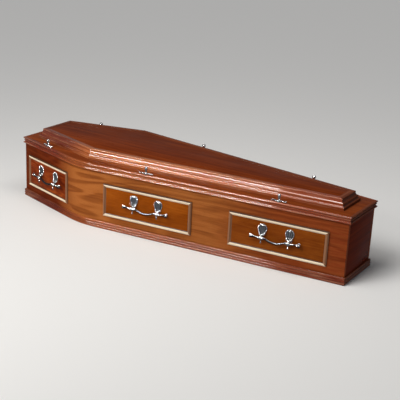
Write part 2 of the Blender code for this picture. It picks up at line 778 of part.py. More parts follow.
def add_lid_screws(parts, cutters, wood):
    """Ornamental thumbscrews on the lid's flange, three a side."""
    chrome = wood["chrome"]
    screw = united("lid_screw", [screw_plate_mesh(chrome), screw_finial_mesh(chrome)], cutters, math.radians(40))
    head, shoulder, foot = (corner.x for corner in outline(0)[HEAD_NEAR:FOOT_FAR])
    stations = (head + SCREW_FROM_HEAD, shoulder + SCREW_FROM_SHOULDER, foot - SCREW_FROM_FOOT)
    shoulder_x = outline(SCREW_INSET)[SHOULDER_NEAR].x
    for number, x in enumerate(stations, 1):
        along = edge_direction(HEAD_NEAR if x < shoulder_x else SHOULDER_NEAR)
        turn = math.atan2(along.y, along.x)
        y = across_at(SCREW_INSET, x)
        place(parts, f"lid_screw_near_{number}", screw, (x, -y, LID_TOP + GAP), turn)
        place(parts, f"lid_screw_far_{number}", screw, (x, y, LID_TOP + GAP), -turn)


def main():
    """Build the coffin."""
    clear_scene()
    parts = new_collection("coffin")
    cutters = new_collection("cutters")
    wood = {name: make_material(name) for name in COLOURS}
    add_box(parts, wood)
    add_run_of_mouldings(parts, "plinth", plinth_section(), wood["moulding wood"])
    add_lid(parts, wood)
    add_panels(parts, wood)
    add_handles(parts, cutters, wood)
    add_lid_screws(parts, cutters, wood)


main()
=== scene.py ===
"""Looks of a wooden coffin: lacquered veneer and mouldings, pale panel frames and plated fittings.

Frame: +X runs from the head to the foot, +Z is up, the near side faces -Y, and the origin is on the
floor under the middle of the lid. "Inset" means the distance inwards from the lid's outer edge.
Every wooden mesh carries attributes that its finish reads: "grain", a place in metres along and
across the wood with a number for the piece, and "relief", above 0 on arrises and below 0 in hollows.
The pale frames and the castings also carry a painted-shade attribute, from 0 where no shade is painted to 1
where the painted shade is darkest.
"""

import logging
import math
from dataclasses import dataclass
from enum import Enum
from typing import Callable, Iterable, Sequence

import bmesh
import bpy
import numpy as np
from mathutils import Matrix, Vector


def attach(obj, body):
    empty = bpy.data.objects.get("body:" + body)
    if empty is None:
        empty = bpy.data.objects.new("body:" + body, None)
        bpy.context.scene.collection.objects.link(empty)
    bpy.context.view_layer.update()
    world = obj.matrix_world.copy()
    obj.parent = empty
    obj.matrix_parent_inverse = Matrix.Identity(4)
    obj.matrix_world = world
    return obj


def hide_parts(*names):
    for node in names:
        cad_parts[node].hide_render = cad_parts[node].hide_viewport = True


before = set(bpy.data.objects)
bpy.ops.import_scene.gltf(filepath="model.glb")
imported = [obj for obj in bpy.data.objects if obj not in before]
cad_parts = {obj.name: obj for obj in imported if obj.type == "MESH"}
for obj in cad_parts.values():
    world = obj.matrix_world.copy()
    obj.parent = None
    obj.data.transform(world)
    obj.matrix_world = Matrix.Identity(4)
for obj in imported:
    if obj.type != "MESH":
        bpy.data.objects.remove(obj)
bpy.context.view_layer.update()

LOG = logging.getLogger("coffin")
ROOT_BODY = "coffin"

Socket = bpy.types.NodeSocket
Shape = bmesh.types.BMesh
Material = bpy.types.Material
Mesh = bpy.types.Mesh
Triple = tuple[float, float, float]
Colour = Triple
Range = tuple[float, float]
Section = list[tuple[float, float]]
Profile = tuple[tuple[float, float], ...]
Cut = Callable[[float], Vector]
# Function from a place to its painted shade, 0 to 1.
PaintedShade = Callable[[Vector], float]

SMOOTH_ANGLE = 32.0
UNION_SMOOTH_ANGLE = 50.0
SHORTEST = 1e-9
ROUNDING_SHARE = 0.4
TURNED_STEP = 0.0007
SENSOR_WIDTH = 36.0

GRAIN = "grain"
RELIEF = "relief"
# Attribute of the painted light and shade on the pale frames and the castings.
PAINTED_SHADE = "stain"


class Edge(Enum):
    """Edges of the six-sided plan, anticlockwise from above, each numbered by its first corner."""

    NEAR_SHORT = 0
    NEAR_LONG = 1
    FOOT = 2
    FAR_LONG = 3
    FAR_SHORT = 4
    HEAD = 5


class Side(Enum):
    """The two long sides, as the sign that Y takes there against the near side."""

    NEAR = 1
    FAR = -1

    @property
    def label(self) -> str:
        """Word used for this side in the names of the nodes."""
        return self.name.lower()


@dataclass(frozen=True)
class Noise:
    """A noise: its density along, across and through a piece, its octaves and how far it is swirled."""

    along: float
    across: float
    detail: float = 2.0
    roughness: float = 0.5
    swirl: float = 0.0
    through: float = 1.0


class Figure(Enum):
    """How the growth rings of a piece of wood show, as the noise that bends them."""

    FLAME = Noise(1.9, 10.0, 1.5, 0.45, 0.35)
    STRAIGHT = Noise(0.8, 26.0, 1.5, 0.45, 0.35)


# Noises of the stained wood
STREAKS = Noise(2.2, 90.0, 4.0, 0.62, 0.12)
CLOUDS = Noise(2.4, 7.0)
FIBRES = Noise(14.0, 380.0, 3.0, 0.65)
PORES = Noise(38.0, 1150.0, 1.0)
PATCHES = Noise(9.0, 90.0, 3.0)
SMEARS = Noise(5.0, 9.0, 3.0)
SURFACE_FIBRES = Noise(16.0, 420.0, 3.0, 0.65)

# Noises of the mottled veneer, the pale frames and the plating
BURR_SWIRLS = Noise(11.0, 30.0, 4.0, 0.6, 1.0)
BURR_CLOUDS = Noise(3.0, 8.0, 2.0, 0.5, 0.5)
BURR_STREAKS = Noise(6.0, 150.0, 3.0, 0.6)
BURR_EYES = (34.0, 46.0, 1.0)
BURR_EYE_PATCHES = Noise(5.0, 9.0)
PALE_FIBRES = Noise(6.0, 420.0, 3.0, 0.6)
PALE_CLOUDS = Noise(7.0, 30.0)
PLATING_CLOUDS = Noise(90.0, 90.0, 3.0, through=90.0)

# Values of a noise or a relief where an effect begins and where it is full
RING_LIMITS = (-0.9, 0.9)
TONE_LIMITS = (0.34, 0.98)
PORE_LIMITS = (0.60, 0.70)
HOLLOW_LIMITS = (-0.03, -0.30)
ARRIS_LIMITS = (0.10, 0.45)
PATCH_LIMITS = (0.35, 0.65)
SMEAR_LIMITS = (0.3, 0.7)
EYE_LIMITS = (0.30, 0.10)
EYE_PATCH_LIMITS = (0.52, 0.68)
PALE_HOLLOW_LIMITS = (-0.03, -0.25)
PALE_FIBRE_LIMITS = (0.62, 0.34)
PLATING_CLOUD_LIMITS = (0.35, 0.75)
PLATING_HOLLOW_LIMITS = (0.0, -0.20)


class Graph:
    """A material's node tree, built socket by socket."""

    def __init__(self, name: str) -> None:
        """Start a material.

        Args:
            name: Name of the material.
        """
        self.material = bpy.data.materials.new(name)
        self.material.use_nodes = True
        self.tree = self.material.node_tree
        self.shader = self.tree.nodes["Principled BSDF"]

    def add(self, kind: str, feeds: dict[str | int, object], **settings: object) -> bpy.types.Node:
        """Add a node.

        Args:
            kind: Node type without its common prefix.
            feeds: Values or sockets for the node's inputs, by name or number.
            settings: Properties of the node.

        Returns:
            The new node.
        """
        node = self.tree.nodes.new("ShaderNode" + kind)
        for key, value in settings.items():
            setattr(node, key, value)
        for key, value in feeds.items():
            self.feed(node.inputs[key], value)
        return node

    def feed(self, socket: Socket, value: object) -> None:
        """Link a socket, or set its plain value.

        Args:
            socket: Input to be fed.
            value: A socket to link from, a colour, a vector or a number.
        """
        if isinstance(value, Socket):
            self.tree.links.new(value, socket)
        elif socket.type == "RGBA":
            socket.default_value = (*value, 1.0)
        else:
            socket.default_value = value

    def attribute(self, name: str) -> Socket:
        """Read a named attribute of the mesh: a place where it is the grain, else a number."""
        node = self.add("Attribute", {}, attribute_type="GEOMETRY", attribute_name=name)
        return node.outputs["Vector" if name == GRAIN else "Fac"]

    def scaled(self, place: Socket, scale: Triple) -> Socket:
        """Scale a place along, across and through the piece."""
        return self.add("Mapping", {"Vector": place, "Scale": scale}).outputs[0]

    def noise(self, place: Socket, noise: Noise) -> Socket:
        """Add a noise.

        Args:
            place: Where the noise is read.
            noise: Its density, octaves and swirl.

        Returns:
            The noise's value, about 0 to 1.
        """
        feeds = {
            "Vector": self.scaled(place, (noise.along, noise.across, noise.through)),
            "Scale": 1.0,
            "Detail": noise.detail,
            "Roughness": noise.roughness,
            "Distortion": noise.swirl,
        }
        return self.add("TexNoise", feeds).outputs[0]

    def calculate(self, operation: str, first: object, second: object = 0.0) -> Socket:
        """Do a sum on one value, or on two where the operation takes two."""
        return self.add("Math", {0: first, 1: second}, operation=operation).outputs[0]

    def weighed(self, parts: Sequence[tuple[object, object]]) -> Socket:
        """Add up values, each with its weight.

        Args:
            parts: Pairs of a value and its weight.

        Returns:
            The sum.
        """
        total: object = 0.0
        for value, weight in parts:
            total = self.calculate("ADD", total, self.calculate("MULTIPLY", value, weight))
        return total

    def spread(self, value: Socket, limits: Range, results: Range = (0.0, 1.0)) -> Socket:
        """Map a value smoothly and clamped.

        Args:
            value: Value to map.
            limits: Values that become the first and the last result.
            results: First and last result.

        Returns:
            The mapped value.
        """
        feeds = {"Value": value, "From Min": limits[0], "From Max": limits[1]}
        feeds |= {"To Min": results[0], "To Max": results[1]}
        return self.add("MapRange", feeds, interpolation_type="SMOOTHSTEP").outputs[0]

    def smeared(self, value: Socket, roughness: float, shares: Range) -> Socket:
        """Vary a roughness with a noise, between two shares of it."""
        return self.spread(value, SMEAR_LIMITS, (roughness * shares[0], roughness * shares[1]))

    def mix(self, share: object, first: object, second: object, blend: str = "MIX") -> Socket:
        """Mix two colours, with the share of the second one."""
        node = self.add("Mix", {0: share, 6: first, 7: second}, data_type="RGBA", blend_type=blend)
        return node.outputs[2]

    def ramp(self, value: Socket, stops: Sequence[tuple[float, Colour]]) -> Socket:
        """Colour a value by stops.

        Args:
            value: Value to colour.
            stops: Places from 0 to 1 with their colours.

        Returns:
            The colour.
        """
        node = self.add("ValToRGB", {"Fac": value})
        ramp = node.color_ramp
        while len(ramp.elements) < len(stops):
            ramp.elements.new(1.0)
        for element, (place, colour) in zip(ramp.elements, stops):
            element.position = place
            element.color = (*colour, 1.0)
        return node.outputs[0]

    def bump(self, height: Socket, distance: float) -> Socket:
        """Turn a height from 0 to 1 into a bumped normal, with its depth in metres."""
        return self.add("Bump", {"Height": height, "Distance": distance}).outputs[0]

    def finish(self, sockets: dict[str, object]) -> Material:
        """Feed the shader.

        Args:
            sockets: Values or sockets for the shader's inputs, by name.

        Returns:
            The finished material.
        """
        for name, value in sockets.items():
            self.feed(self.shader.inputs[name], value)
        return self.material


def darker(colour: Colour, share: float) -> Colour:
    """Keep only a share of a colour."""
    return tuple(channel * share for channel in colour)


@dataclass(frozen=True)
class Flame:
    """A cathedral figure that shows on one stretch of a run."""

    middle: float
    reach: float
    strength: float


@dataclass(frozen=True)
class WoodFinish:
    """Stained wood under lacquer: figure, fibres, pores, painted shade in the hollows, rubbed arrises, which
    on the mouldings also paint highlight lines, and painted light and shade along the run.
    """

    name: str
    figure: Figure
    dark: Colour
    middle: Colour
    light: Colour
    roughness: float = 0.32
    smear: Range = (0.85, 1.2)
    coat: float = 0.02
    coat_roughness: float = 0.10
    coat_ior: float = 1.5
    gloss: float = 0.04
    rings: float = 6.0
    ring_strength: float = 0.14
    streaks: float = 0.62
    clouds: float = 0.34
    fibres: float = 0.20
    pore_strength: float = 0.30
    pore_tone: float = 0.4
    # Painted shade in the hollows: how strong it is and how dark.
    hollow_stain: float = 0.80
    painted_hollow_tone: float = 0.25
    # Rubbed arrises: wear, and with a moulding's own arris colour also painted highlight lines.
    wear_and_highlight: float = 0.30
    wear_and_highlight_colour: Colour | None = None
    flame: Flame | None = None
    # Painted light and shade along the run: colour multipliers from run_start to run_end.
    run: tuple[tuple[float, Colour], ...] = ()
    run_start: float = -0.50
    run_end: float = 1.60
    bump: float = 0.00004

    def tone(self, graph: Graph, place: Socket, along: object) -> Socket:
        """Weigh rings, streaks, clouds and fibres into one tone.

        Args:
            graph: Tree that gets the nodes.
            place: Place in the wood.
            along: Distance along the run.

        Returns:
            The tone, 0 where the wood is darkest.
        """
        growth = graph.calculate("MULTIPLY", graph.noise(place, self.figure.value), self.rings * math.tau)
        ring = graph.spread(graph.calculate("SINE", growth), RING_LIMITS)
        weight: object = self.ring_strength
        if self.flame:
            away = graph.calculate("ABSOLUTE", graph.calculate("SUBTRACT", along, self.flame.middle))
            weight = graph.spread(away, (self.flame.reach, 0.0), (self.ring_strength, self.flame.strength))
        noises = ((STREAKS, self.streaks), (CLOUDS, self.clouds), (FIBRES, self.fibres))
        parts = [(ring, weight)] + [(graph.noise(place, noise), share) for noise, share in noises]
        return graph.spread(graph.weighed(parts), TONE_LIMITS)

    def material(self) -> Material:
        """Build the finish's material.

        Returns:
            The material, which reads the grain and relief attributes.
        """
        graph = Graph(self.name)
        place, relief = graph.attribute(GRAIN), graph.attribute(RELIEF)
        along = graph.add("SeparateXYZ", {0: place}).outputs[0]
        tone = self.tone(graph, place, along)
        wood = graph.ramp(tone, ((0.0, self.dark), (0.5, self.middle), (1.0, self.light)))
        # Painted light and shade: the wood is multiplied by the run's ramp along its length.
        if self.run:
            feeds = {"Value": along, "From Min": self.run_start, "From Max": self.run_end}
            share = graph.add("MapRange", feeds).outputs[0]
            wood = graph.mix(1.0, wood, graph.ramp(share, self.run), "MULTIPLY")
        pores = graph.spread(graph.noise(place, PORES), PORE_LIMITS, (0.0, self.pore_strength))
        wood = graph.mix(pores, wood, darker(self.dark, self.pore_tone))
        # Painted shade: the wood darkens where the relief is below 0, in the hollows.
        hollows = graph.spread(relief, HOLLOW_LIMITS, (0.0, self.hollow_stain))
        wood = graph.mix(hollows, wood, darker(self.dark, self.painted_hollow_tone))
        # Rubbed arrises in patches: wear, which on the mouldings and plinth also paints the highlight lines
        # along the beads.
        arrises = graph.spread(relief, ARRIS_LIMITS, (0.0, self.wear_and_highlight))
        patches = graph.spread(graph.noise(place, PATCHES), PATCH_LIMITS)
        wood = graph.mix(graph.calculate("MULTIPLY", arrises, patches), wood, self.wear_and_highlight_colour or self.light)
        return graph.finish(
            {
                "Base Color": wood,
                "Roughness": graph.smeared(graph.noise(place, SMEARS), self.roughness, self.smear),
                "Normal": graph.bump(graph.noise(place, SURFACE_FIBRES), self.bump),
                "Coat Weight": self.coat,
                "Coat Roughness": self.coat_roughness,
                "Coat IOR": self.coat_ior,
                "Specular IOR Level": self.gloss,
            }
        )


@dataclass(frozen=True)
class BurrFinish:
    """Mottled veneer under gloss lacquer: swirled clouds, eyes and fine rays, with painted shade in the
    hollows.
    """

    name: str
    dark: Colour
    middle: Colour
    light: Colour
    mottle: float = 0.45
    clouds: float = 0.40
    streaks: float = 0.34
    contrast: float = 0.24
    middle_place: float = 0.55
    # Painted shade in the hollows: how strong it is and how dark.
    hollow_stain: float = 0.75
    painted_hollow_tone: float = 0.3
    roughness: float = 0.30
    smear: Range = (0.85, 1.15)
    coat: float = 0.05
    coat_roughness: float = 0.10
    gloss: float = 0.03
    bump: float = 0.00003

    def material(self) -> Material:
        """Build the finish's material.

        Returns:
            The material, which reads the grain and relief attributes.
        """
        graph = Graph(self.name)
        place, relief = graph.attribute(GRAIN), graph.attribute(RELIEF)
        swirl = graph.noise(place, BURR_SWIRLS)
        cloud = graph.noise(place, BURR_CLOUDS)
        streak = graph.noise(place, BURR_STREAKS)
        shade = graph.weighed(((swirl, self.mottle), (cloud, self.clouds), (streak, self.streaks)))
        middle = (self.mottle + self.clouds + self.streaks) / 2
        tone = graph.spread(shade, (middle - self.contrast, middle + self.contrast))
        wood = graph.ramp(tone, ((0.0, self.dark), (self.middle_place, self.middle), (1.0, self.light)))
        eyes = graph.add("TexVoronoi", {"Vector": graph.scaled(place, BURR_EYES), "Scale": 1.0})
        eye = graph.spread(eyes.outputs["Distance"], EYE_LIMITS, (0.0, self.mottle))
        where = graph.spread(graph.noise(place, BURR_EYE_PATCHES), EYE_PATCH_LIMITS)
        wood = graph.mix(graph.calculate("MULTIPLY", eye, where), wood, self.dark)
        # Painted shade: darker in the hollows.
        hollows = graph.spread(relief, HOLLOW_LIMITS, (0.0, self.hollow_stain))
        wood = graph.mix(hollows, wood, darker(self.dark, self.painted_hollow_tone))
        return graph.finish(
            {
                "Base Color": wood,
                "Roughness": graph.smeared(cloud, self.roughness, self.smear),
                "Normal": graph.bump(streak, self.bump),
                "Coat Weight": self.coat,
                "Coat Roughness": self.coat_roughness,
                "Specular IOR Level": self.gloss,
            }
        )


@dataclass(frozen=True)
class PaleFinish:
    """Pale moulding: cream rails, duller stiles in painted shade and a painted shade line, with fine fibres
    and painted shade in the hollows.
    """

    name: str
    cream: Colour
    dull: Colour
    line: Colour
    fibres: float = 0.6
    clouds: float = 0.4
    fibre_strength: float = 0.22
    fibre_tone: float = 0.7
    hollow_stain: float = 0.75
    roughness: float = 0.34
    smear: Range = (0.85, 1.2)
    coat: float = 0.2
    coat_roughness: float = 0.12
    gloss: float = 0.25
    bump: float = 0.00003

    def material(self) -> Material:
        """Build the finish's material.

        Returns:
            The material, which reads the grain, relief and painted-shade attributes.
        """
        graph = Graph(self.name)
        place, relief, stain = (graph.attribute(name) for name in (GRAIN, RELIEF, PAINTED_SHADE))
        # Painted light: cream at 0 on the rails, the duller colour at 0.5 on the stiles as painted shade,
        # and the dark line at 1 as painted shade.
        wood = graph.ramp(stain, ((0.0, self.cream), (0.5, self.dull), (1.0, self.line)))
        fibre, cloud = graph.noise(place, PALE_FIBRES), graph.noise(place, PALE_CLOUDS)
        shade = graph.weighed(((fibre, self.fibres), (cloud, self.clouds)))
        fibres = graph.spread(shade, PALE_FIBRE_LIMITS, (0.0, self.fibre_strength))
        wood = graph.mix(fibres, wood, darker(self.dull, self.fibre_tone))
        # Painted shade: the dark line colour in the hollows.
        hollows = graph.spread(relief, PALE_HOLLOW_LIMITS, (0.0, self.hollow_stain))
        return graph.finish(
            {
                "Base Color": graph.mix(hollows, wood, self.line),
                "Roughness": graph.smeared(cloud, self.roughness, self.smear),
                "Normal": graph.bump(fibre, self.bump),
                "Coat Weight": self.coat,
                "Coat Roughness": self.coat_roughness,
                "Specular IOR Level": self.gloss,
            }
        )


@dataclass(frozen=True)
class PlatedFinish:
    """Bright plating on a casting: faint clouding, with painted shade in the hollows and where the
    painted-shade attribute marks it.
    """

    name: str
    bright: Colour = (0.84, 0.84, 0.85)
    dulled: Colour = (0.60, 0.60, 0.61)
    # Colour of the painted shade on the plating.
    tarnish: Colour = (0.012, 0.013, 0.016)
    clouding: float = 0.30
    hollow_tarnish: float = 0.90
    stain_tarnish: float = 0.92
    roughness: float = 0.07
    smear: Range = (1.0, 1.8)

    def material(self) -> Material:
        """Build the finish's material.

        Returns:
            The material, which reads the relief and painted-shade attributes.
        """
        graph = Graph(self.name)
        relief, stain = graph.attribute(RELIEF), graph.attribute(PAINTED_SHADE)
        cloud = graph.noise(graph.add("TexCoord", {}).outputs["Object"], PLATING_CLOUDS)
        clouding = graph.spread(cloud, PLATING_CLOUD_LIMITS, (0.0, self.clouding))
        metal = graph.mix(clouding, self.bright, self.dulled)
        # Painted shade: dark in the hollows.
        hollows = graph.spread(relief, PLATING_HOLLOW_LIMITS, (0.0, self.hollow_tarnish))
        metal = graph.mix(hollows, metal, self.tarnish)
        # Painted shade from the attribute: oval grooves, slot, undersides, bow and the crowns' cups and
        # feet.
        metal = graph.mix(graph.spread(stain, (0.0, 1.0), (0.0, self.stain_tarnish)), metal, self.tarnish)
        rough = graph.smeared(cloud, self.roughness, self.smear)
        return graph.finish({"Base Color": metal, "Metallic": 1.0, "Roughness": rough})


# Painted light and shade along the sides and their mouldings: darker on the short side, brightest past the
# shoulder's bend where the key light falls, darker again towards the foot.
PAINTED_LIGHT_RUN = (
    (0.00, (0.33, 0.14, 0.11)),
    (0.18, (0.38, 0.18, 0.14)),
    (0.26, (0.88, 0.84, 0.80)),
    (0.35, (1.00, 1.00, 1.00)),
    (0.64, (0.92, 0.94, 0.98)),
    (0.80, (0.70, 0.46, 0.46)),
    (1.00, (0.54, 0.30, 0.34)),
)
SIDE_WOOD = WoodFinish(
    "stained side veneer",
    Figure.FLAME,
    dark=(0.197, 0.049, 0.010),
    middle=(0.320, 0.094, 0.019),
    light=(0.426, 0.139, 0.032),
    flame=Flame(0.06, 0.30, 0.42),
    run=PAINTED_LIGHT_RUN,
)
# Painted shade: the end boards' veneer is a much darker version of the side veneer's colours, for ends that
# lie in shade.
SHADED_END_WOOD = WoodFinish(
    "stained end veneer",
    Figure.STRAIGHT,
    dark=(0.070, 0.008, 0.002),
    middle=(0.120, 0.014, 0.003),
    light=(0.190, 0.028, 0.006),
)
MOULDING_WOOD = WoodFinish(
    "lacquered moulding",
    Figure.STRAIGHT,
    dark=(0.300, 0.070, 0.012),
    middle=(0.460, 0.118, 0.020),
    light=(0.580, 0.170, 0.034),
    roughness=0.26,
    coat=1.00,
    coat_roughness=0.04,
    coat_ior=2.0,
    wear_and_highlight=0.26,
    # Arris colour: wear, and painted highlight lines along the beads.
    wear_and_highlight_colour=(0.860, 0.500, 0.300),
    run=PAINTED_LIGHT_RUN,
    bump=0.000005,
)
PLINTH_WOOD = WoodFinish(
    "lacquered plinth",
    Figure.STRAIGHT,
    dark=(0.190, 0.040, 0.009),
    middle=(0.310, 0.072, 0.015),
    light=(0.430, 0.115, 0.026),
    roughness=0.26,
    coat=0.70,
    coat_roughness=0.05,
    coat_ior=1.9,
    wear_and_highlight=0.26,
    # Arris colour: wear, and painted highlight lines along the reeds.
    wear_and_highlight_colour=(0.800, 0.440, 0.260),
    run=PAINTED_LIGHT_RUN,
    bump=0.000005,
)
# Painted shade: a much darker version of the moulding colours, for the end and far-side lengths that lie in
# shade.
SHADED_END_MOULDING_WOOD = WoodFinish(
    "lacquered end moulding",
    Figure.STRAIGHT,
    dark=(0.085, 0.018, 0.006),
    middle=(0.150, 0.034, 0.010),
    light=(0.230, 0.060, 0.018),
    roughness=0.26,
    coat=0.30,
    bump=0.00001,
)
FLANGE_WOOD = WoodFinish(
    "lacquered flange",
    Figure.STRAIGHT,
    dark=(0.115, 0.021, 0.004),
    middle=(0.180, 0.034, 0.006),
    light=(0.265, 0.060, 0.011),
)
TOP_WOOD = WoodFinish(
    "dark top veneer",
    Figure.STRAIGHT,
    dark=(0.095, 0.014, 0.002),
    middle=(0.150, 0.024, 0.003),
    light=(0.220, 0.041, 0.006),
)
INSIDE_WOOD = WoodFinish(
    "bare inside board",
    Figure.STRAIGHT,
    dark=(0.330, 0.190, 0.090),
    middle=(0.480, 0.300, 0.160),
    light=(0.620, 0.420, 0.240),
    roughness=0.60,
    coat=0.0,
)
# The rails' cream against the stiles' duller colour is painted light, and the dark line above each rail is
# painted shade.
FRAME_WOOD = PaleFinish(
    "pale frame moulding",
    cream=(0.880, 0.740, 0.540),
    dull=(0.270, 0.125, 0.062),
    line=(0.060, 0.024, 0.010),
)
AMBER_VENEER = BurrFinish(
    "amber veneer",
    dark=(0.160, 0.033, 0.0018),
    middle=(0.262, 0.057, 0.0030),
    light=(0.355, 0.092, 0.0060),
    mottle=0.20,
)
BROWN_VENEER = BurrFinish(
    "brown veneer",
    dark=(0.110, 0.022, 0.002),
    middle=(0.200, 0.045, 0.004),
    light=(0.290, 0.078, 0.008),
    mottle=0.24,
)
RED_VENEER = BurrFinish(
    "red veneer",
    dark=(0.060, 0.007, 0.002),
    middle=(0.210, 0.032, 0.005),
    light=(0.390, 0.085, 0.013),
)
PLATING = PlatedFinish("bright plating")


def arc(centre: tuple[float, float], radius: float, start: float, end: float, steps: int) -> Section:
    """Make the points of an arc.

    Args:
        centre: Centre of the arc.
        radius: Its radius.
        start: First angle in degrees, from straight inwards.
        end: Last angle in degrees.
        steps: How many pieces it is cut into.

    Returns:
        The points, both ends among them.
    """
    angles = (math.radians(start + (end - start) * step / steps) for step in range(steps + 1))
    return [(centre[0] + radius * math.cos(angle), centre[1] + radius * math.sin(angle)) for angle in angles]


def bowed(start: tuple[float, float], end: tuple[float, float], sag: float, steps: int) -> Section:
    """Make the points of a shallow curve between two points.

    Args:
        start: First point.
        end: Last point.
        sag: How far the middle is moved to the left of the way from start to end.
        steps: How many pieces it is cut into.

    Returns:
        The points, both ends among them.
    """
    first, last = Vector(start), Vector(end)
    way = (last - first).normalized()
    left = Vector((-way.y, way.x))
    points = []
    for step in range(steps + 1):
        share = step / steps
        points.append(tuple(first.lerp(last, share) + left * (sag * 4 * share * (1 - share))))
    return points


def soften(section: Section, radius: float, steps: int = 3, sharper_than: float = 28.0) -> Section:
    """Round the sharp corners of a closed section.

    Args:
        section: Points of the section.
        radius: Radius of each rounding, less where the sides next to it are short.
        steps: How many pieces each rounding is cut into.
        sharper_than: Turn in degrees above which a corner is rounded.

    Returns:
        The rounded section.
    """
    rounded: Section = []
    for index, corner in enumerate(section):
        here = Vector(corner)
        back = Vector(section[index - 1]) - here
        ahead = Vector(section[(index + 1) % len(section)]) - here
        turn = math.pi - back.angle(ahead)
        if turn < math.radians(sharper_than):
            rounded.append(corner)
            continue
        reach = min(radius * math.tan(turn / 2), min(back.length, ahead.length) * ROUNDING_SHARE)
        first = here + back.normalized() * reach
        last = here + ahead.normalized() * reach
        for step in range(steps + 1):
            share = step / steps
            rounded.append(tuple(first.lerp(here, share).lerp(here.lerp(last, share), share)))
    return rounded


def read_values(items: bpy.types.bpy_prop_collection, key: str, width: int, kind: type) -> np.ndarray:
    """Read one value of every vertex or edge of a mesh.

    Args:
        items: The mesh's vertices, normals, edges or attribute values.
        key: Name of the value.
        width: How many numbers the value has.
        kind: Kind of number.

    Returns:
        One row for each item.
    """
    values = np.zeros(len(items) * width, kind)
    items.foreach_get(key, values)
    return values.reshape(-1, width)


def mark_relief(mesh: Mesh) -> None:
    """Write how far each vertex stands out of its neighbours, or lies in a hollow.

    Args:
        mesh: Mesh that gets the attribute.
    """
    places = read_values(mesh.vertices, "co", 3, np.float32)
    normals = read_values(mesh.vertex_normals, "vector", 3, np.float32)
    first, second = read_values(mesh.edges, "vertices", 2, np.int32).T
    way = places[second] - places[first]
    way /= np.maximum(np.linalg.norm(way, axis=1, keepdims=True), SHORTEST)
    total = np.zeros(len(places))
    edges = np.zeros(len(places))
    np.add.at(total, first, -(way * normals[first]).sum(axis=1))
    np.add.at(total, second, (way * normals[second]).sum(axis=1))
    np.add.at(edges, first, 1)
    np.add.at(edges, second, 1)
    attribute = mesh.attributes.new(RELIEF, "FLOAT", "POINT")
    attribute.data.foreach_set("value", (total / np.maximum(edges, 1)).astype(np.float32))


def mark_painted_shade(mesh: Mesh, amount: PaintedShade, under: float = 0.0, level: float = 0.0) -> None:
    """Write how much shade is painted on a finish at each vertex.

    Args:
        mesh: Mesh that gets the attribute.
        amount: Function from a vertex's place to its painted shade, 0 to 1.
        under: Least painted shade of a face that looks down.
        level: How far up a face may look, 0 to 1, before it stays free of that painted shade.
    """
    attribute = mesh.attributes.new(PAINTED_SHADE, "FLOAT", "POINT")
    painted_shades = []
    for vertex in mesh.vertices:
        turned = min(max((level - vertex.normal.z) * 2, 0.0), 1.0)
        painted_shades.append(max(amount(vertex.co), turned * under))
    attribute.data.foreach_set("value", painted_shades)


def smooth_mesh(shape: Shape, name: str, smooth_angle: float = SMOOTH_ANGLE) -> Mesh:
    """Turn a bmesh into a smooth-shaded mesh.

    Args:
        shape: The bmesh, which is freed.
        name: Name of the mesh.
        smooth_angle: Angle in degrees above which an edge stays sharp.

    Returns:
        The mesh.
    """
    mesh = bpy.data.meshes.new(name)
    shape.to_mesh(mesh)
    shape.free()
    mesh.shade_smooth()
    mesh.set_sharp_from_angle(angle=math.radians(smooth_angle))
    return mesh


def close_mesh(shape: Shape, name: str, smooth_angle: float = SMOOTH_ANGLE) -> Mesh:
    """Turn a closed bmesh into a finished mesh.

    Args:
        shape: The bmesh, which is freed.
        name: Name of the mesh.
        smooth_angle: Angle in degrees above which an edge stays sharp.

    Returns:
        The mesh, with its faces pointing out and its relief marked.
    """
    bmesh.ops.recalc_face_normals(shape, faces=shape.faces)
    mesh = smooth_mesh(shape, name, smooth_angle)
    mark_relief(mesh)
    return mesh


def skin(shape: Shape, rings: list[list[bmesh.types.BMVert]], endless: bool = False) -> None:
    """Join rings of vertices with faces.

    Args:
        shape: The bmesh that holds the vertices.
        rings: The rings, all with the same number of vertices.
        endless: Whether the last ring joins the first. Both ends are capped where it doesn't.
    """
    following = rings[1:] + rings[:1] if endless else rings[1:]
    for ring, other in zip(rings, following):
        for step in range(len(ring)):
            shape.faces.new((ring[step - 1], ring[step], other[step], other[step - 1]))
    if not endless:
        shape.faces.new(rings[0])
        shape.faces.new(rings[-1])


def round_edges(shape: Shape, width: float, segments: int = 2) -> None:
    """Round every edge of a shape."""
    edges = list(shape.edges)
    bmesh.ops.bevel(shape, geom=edges, offset=width, segments=segments, profile=0.5, affect="EDGES")


def block(size: Triple, centre: Triple, rounding: float, segments: int = 2) -> Shape:
    """Make a block with rounded edges.

    Args:
        size: Its size in X, Y and Z.
        centre: Its middle.
        rounding: Width of the rounding of its edges.
        segments: How many pieces each rounding is cut into.

    Returns:
        The block, closed.
    """
    shape = bmesh.new()
    bmesh.ops.create_cube(shape, size=1, matrix=Matrix.Diagonal((*size, 1)))
    bmesh.ops.translate(shape, verts=shape.verts, vec=centre)
    round_edges(shape, rounding, segments)
    return shape


def run_mesh(name: str, section: Section, cuts: Iterable[Cut], number: float) -> Mesh:
    """Run a section through a row of cuts and cap both ends.

    Args:
        name: Name of the mesh.
        section: Points of the section, as inset and height.
        cuts: For each cut, a function from inset to X, Y and the distance along the run.
        number: The piece's own number, which shifts its grain.

    Returns:
        The mesh.
    """
    shape = bmesh.new()
    grain = shape.verts.layers.float_vector.new(GRAIN)
    rounds = [0.0]
    for first, second in zip(section, section[1:]):
        rounds.append(rounds[-1] + math.dist(first, second))
    rings = []
    for cut in cuts:
        ring = []
        for (inset, height), around in zip(section, rounds):
            x, y, along = cut(inset)
            vertex = shape.verts.new((x, y, height))
            vertex[grain] = (along, around, number)
            ring.append(vertex)
        rings.append(ring)
    skin(shape, rings)
    return close_mesh(shape, name)


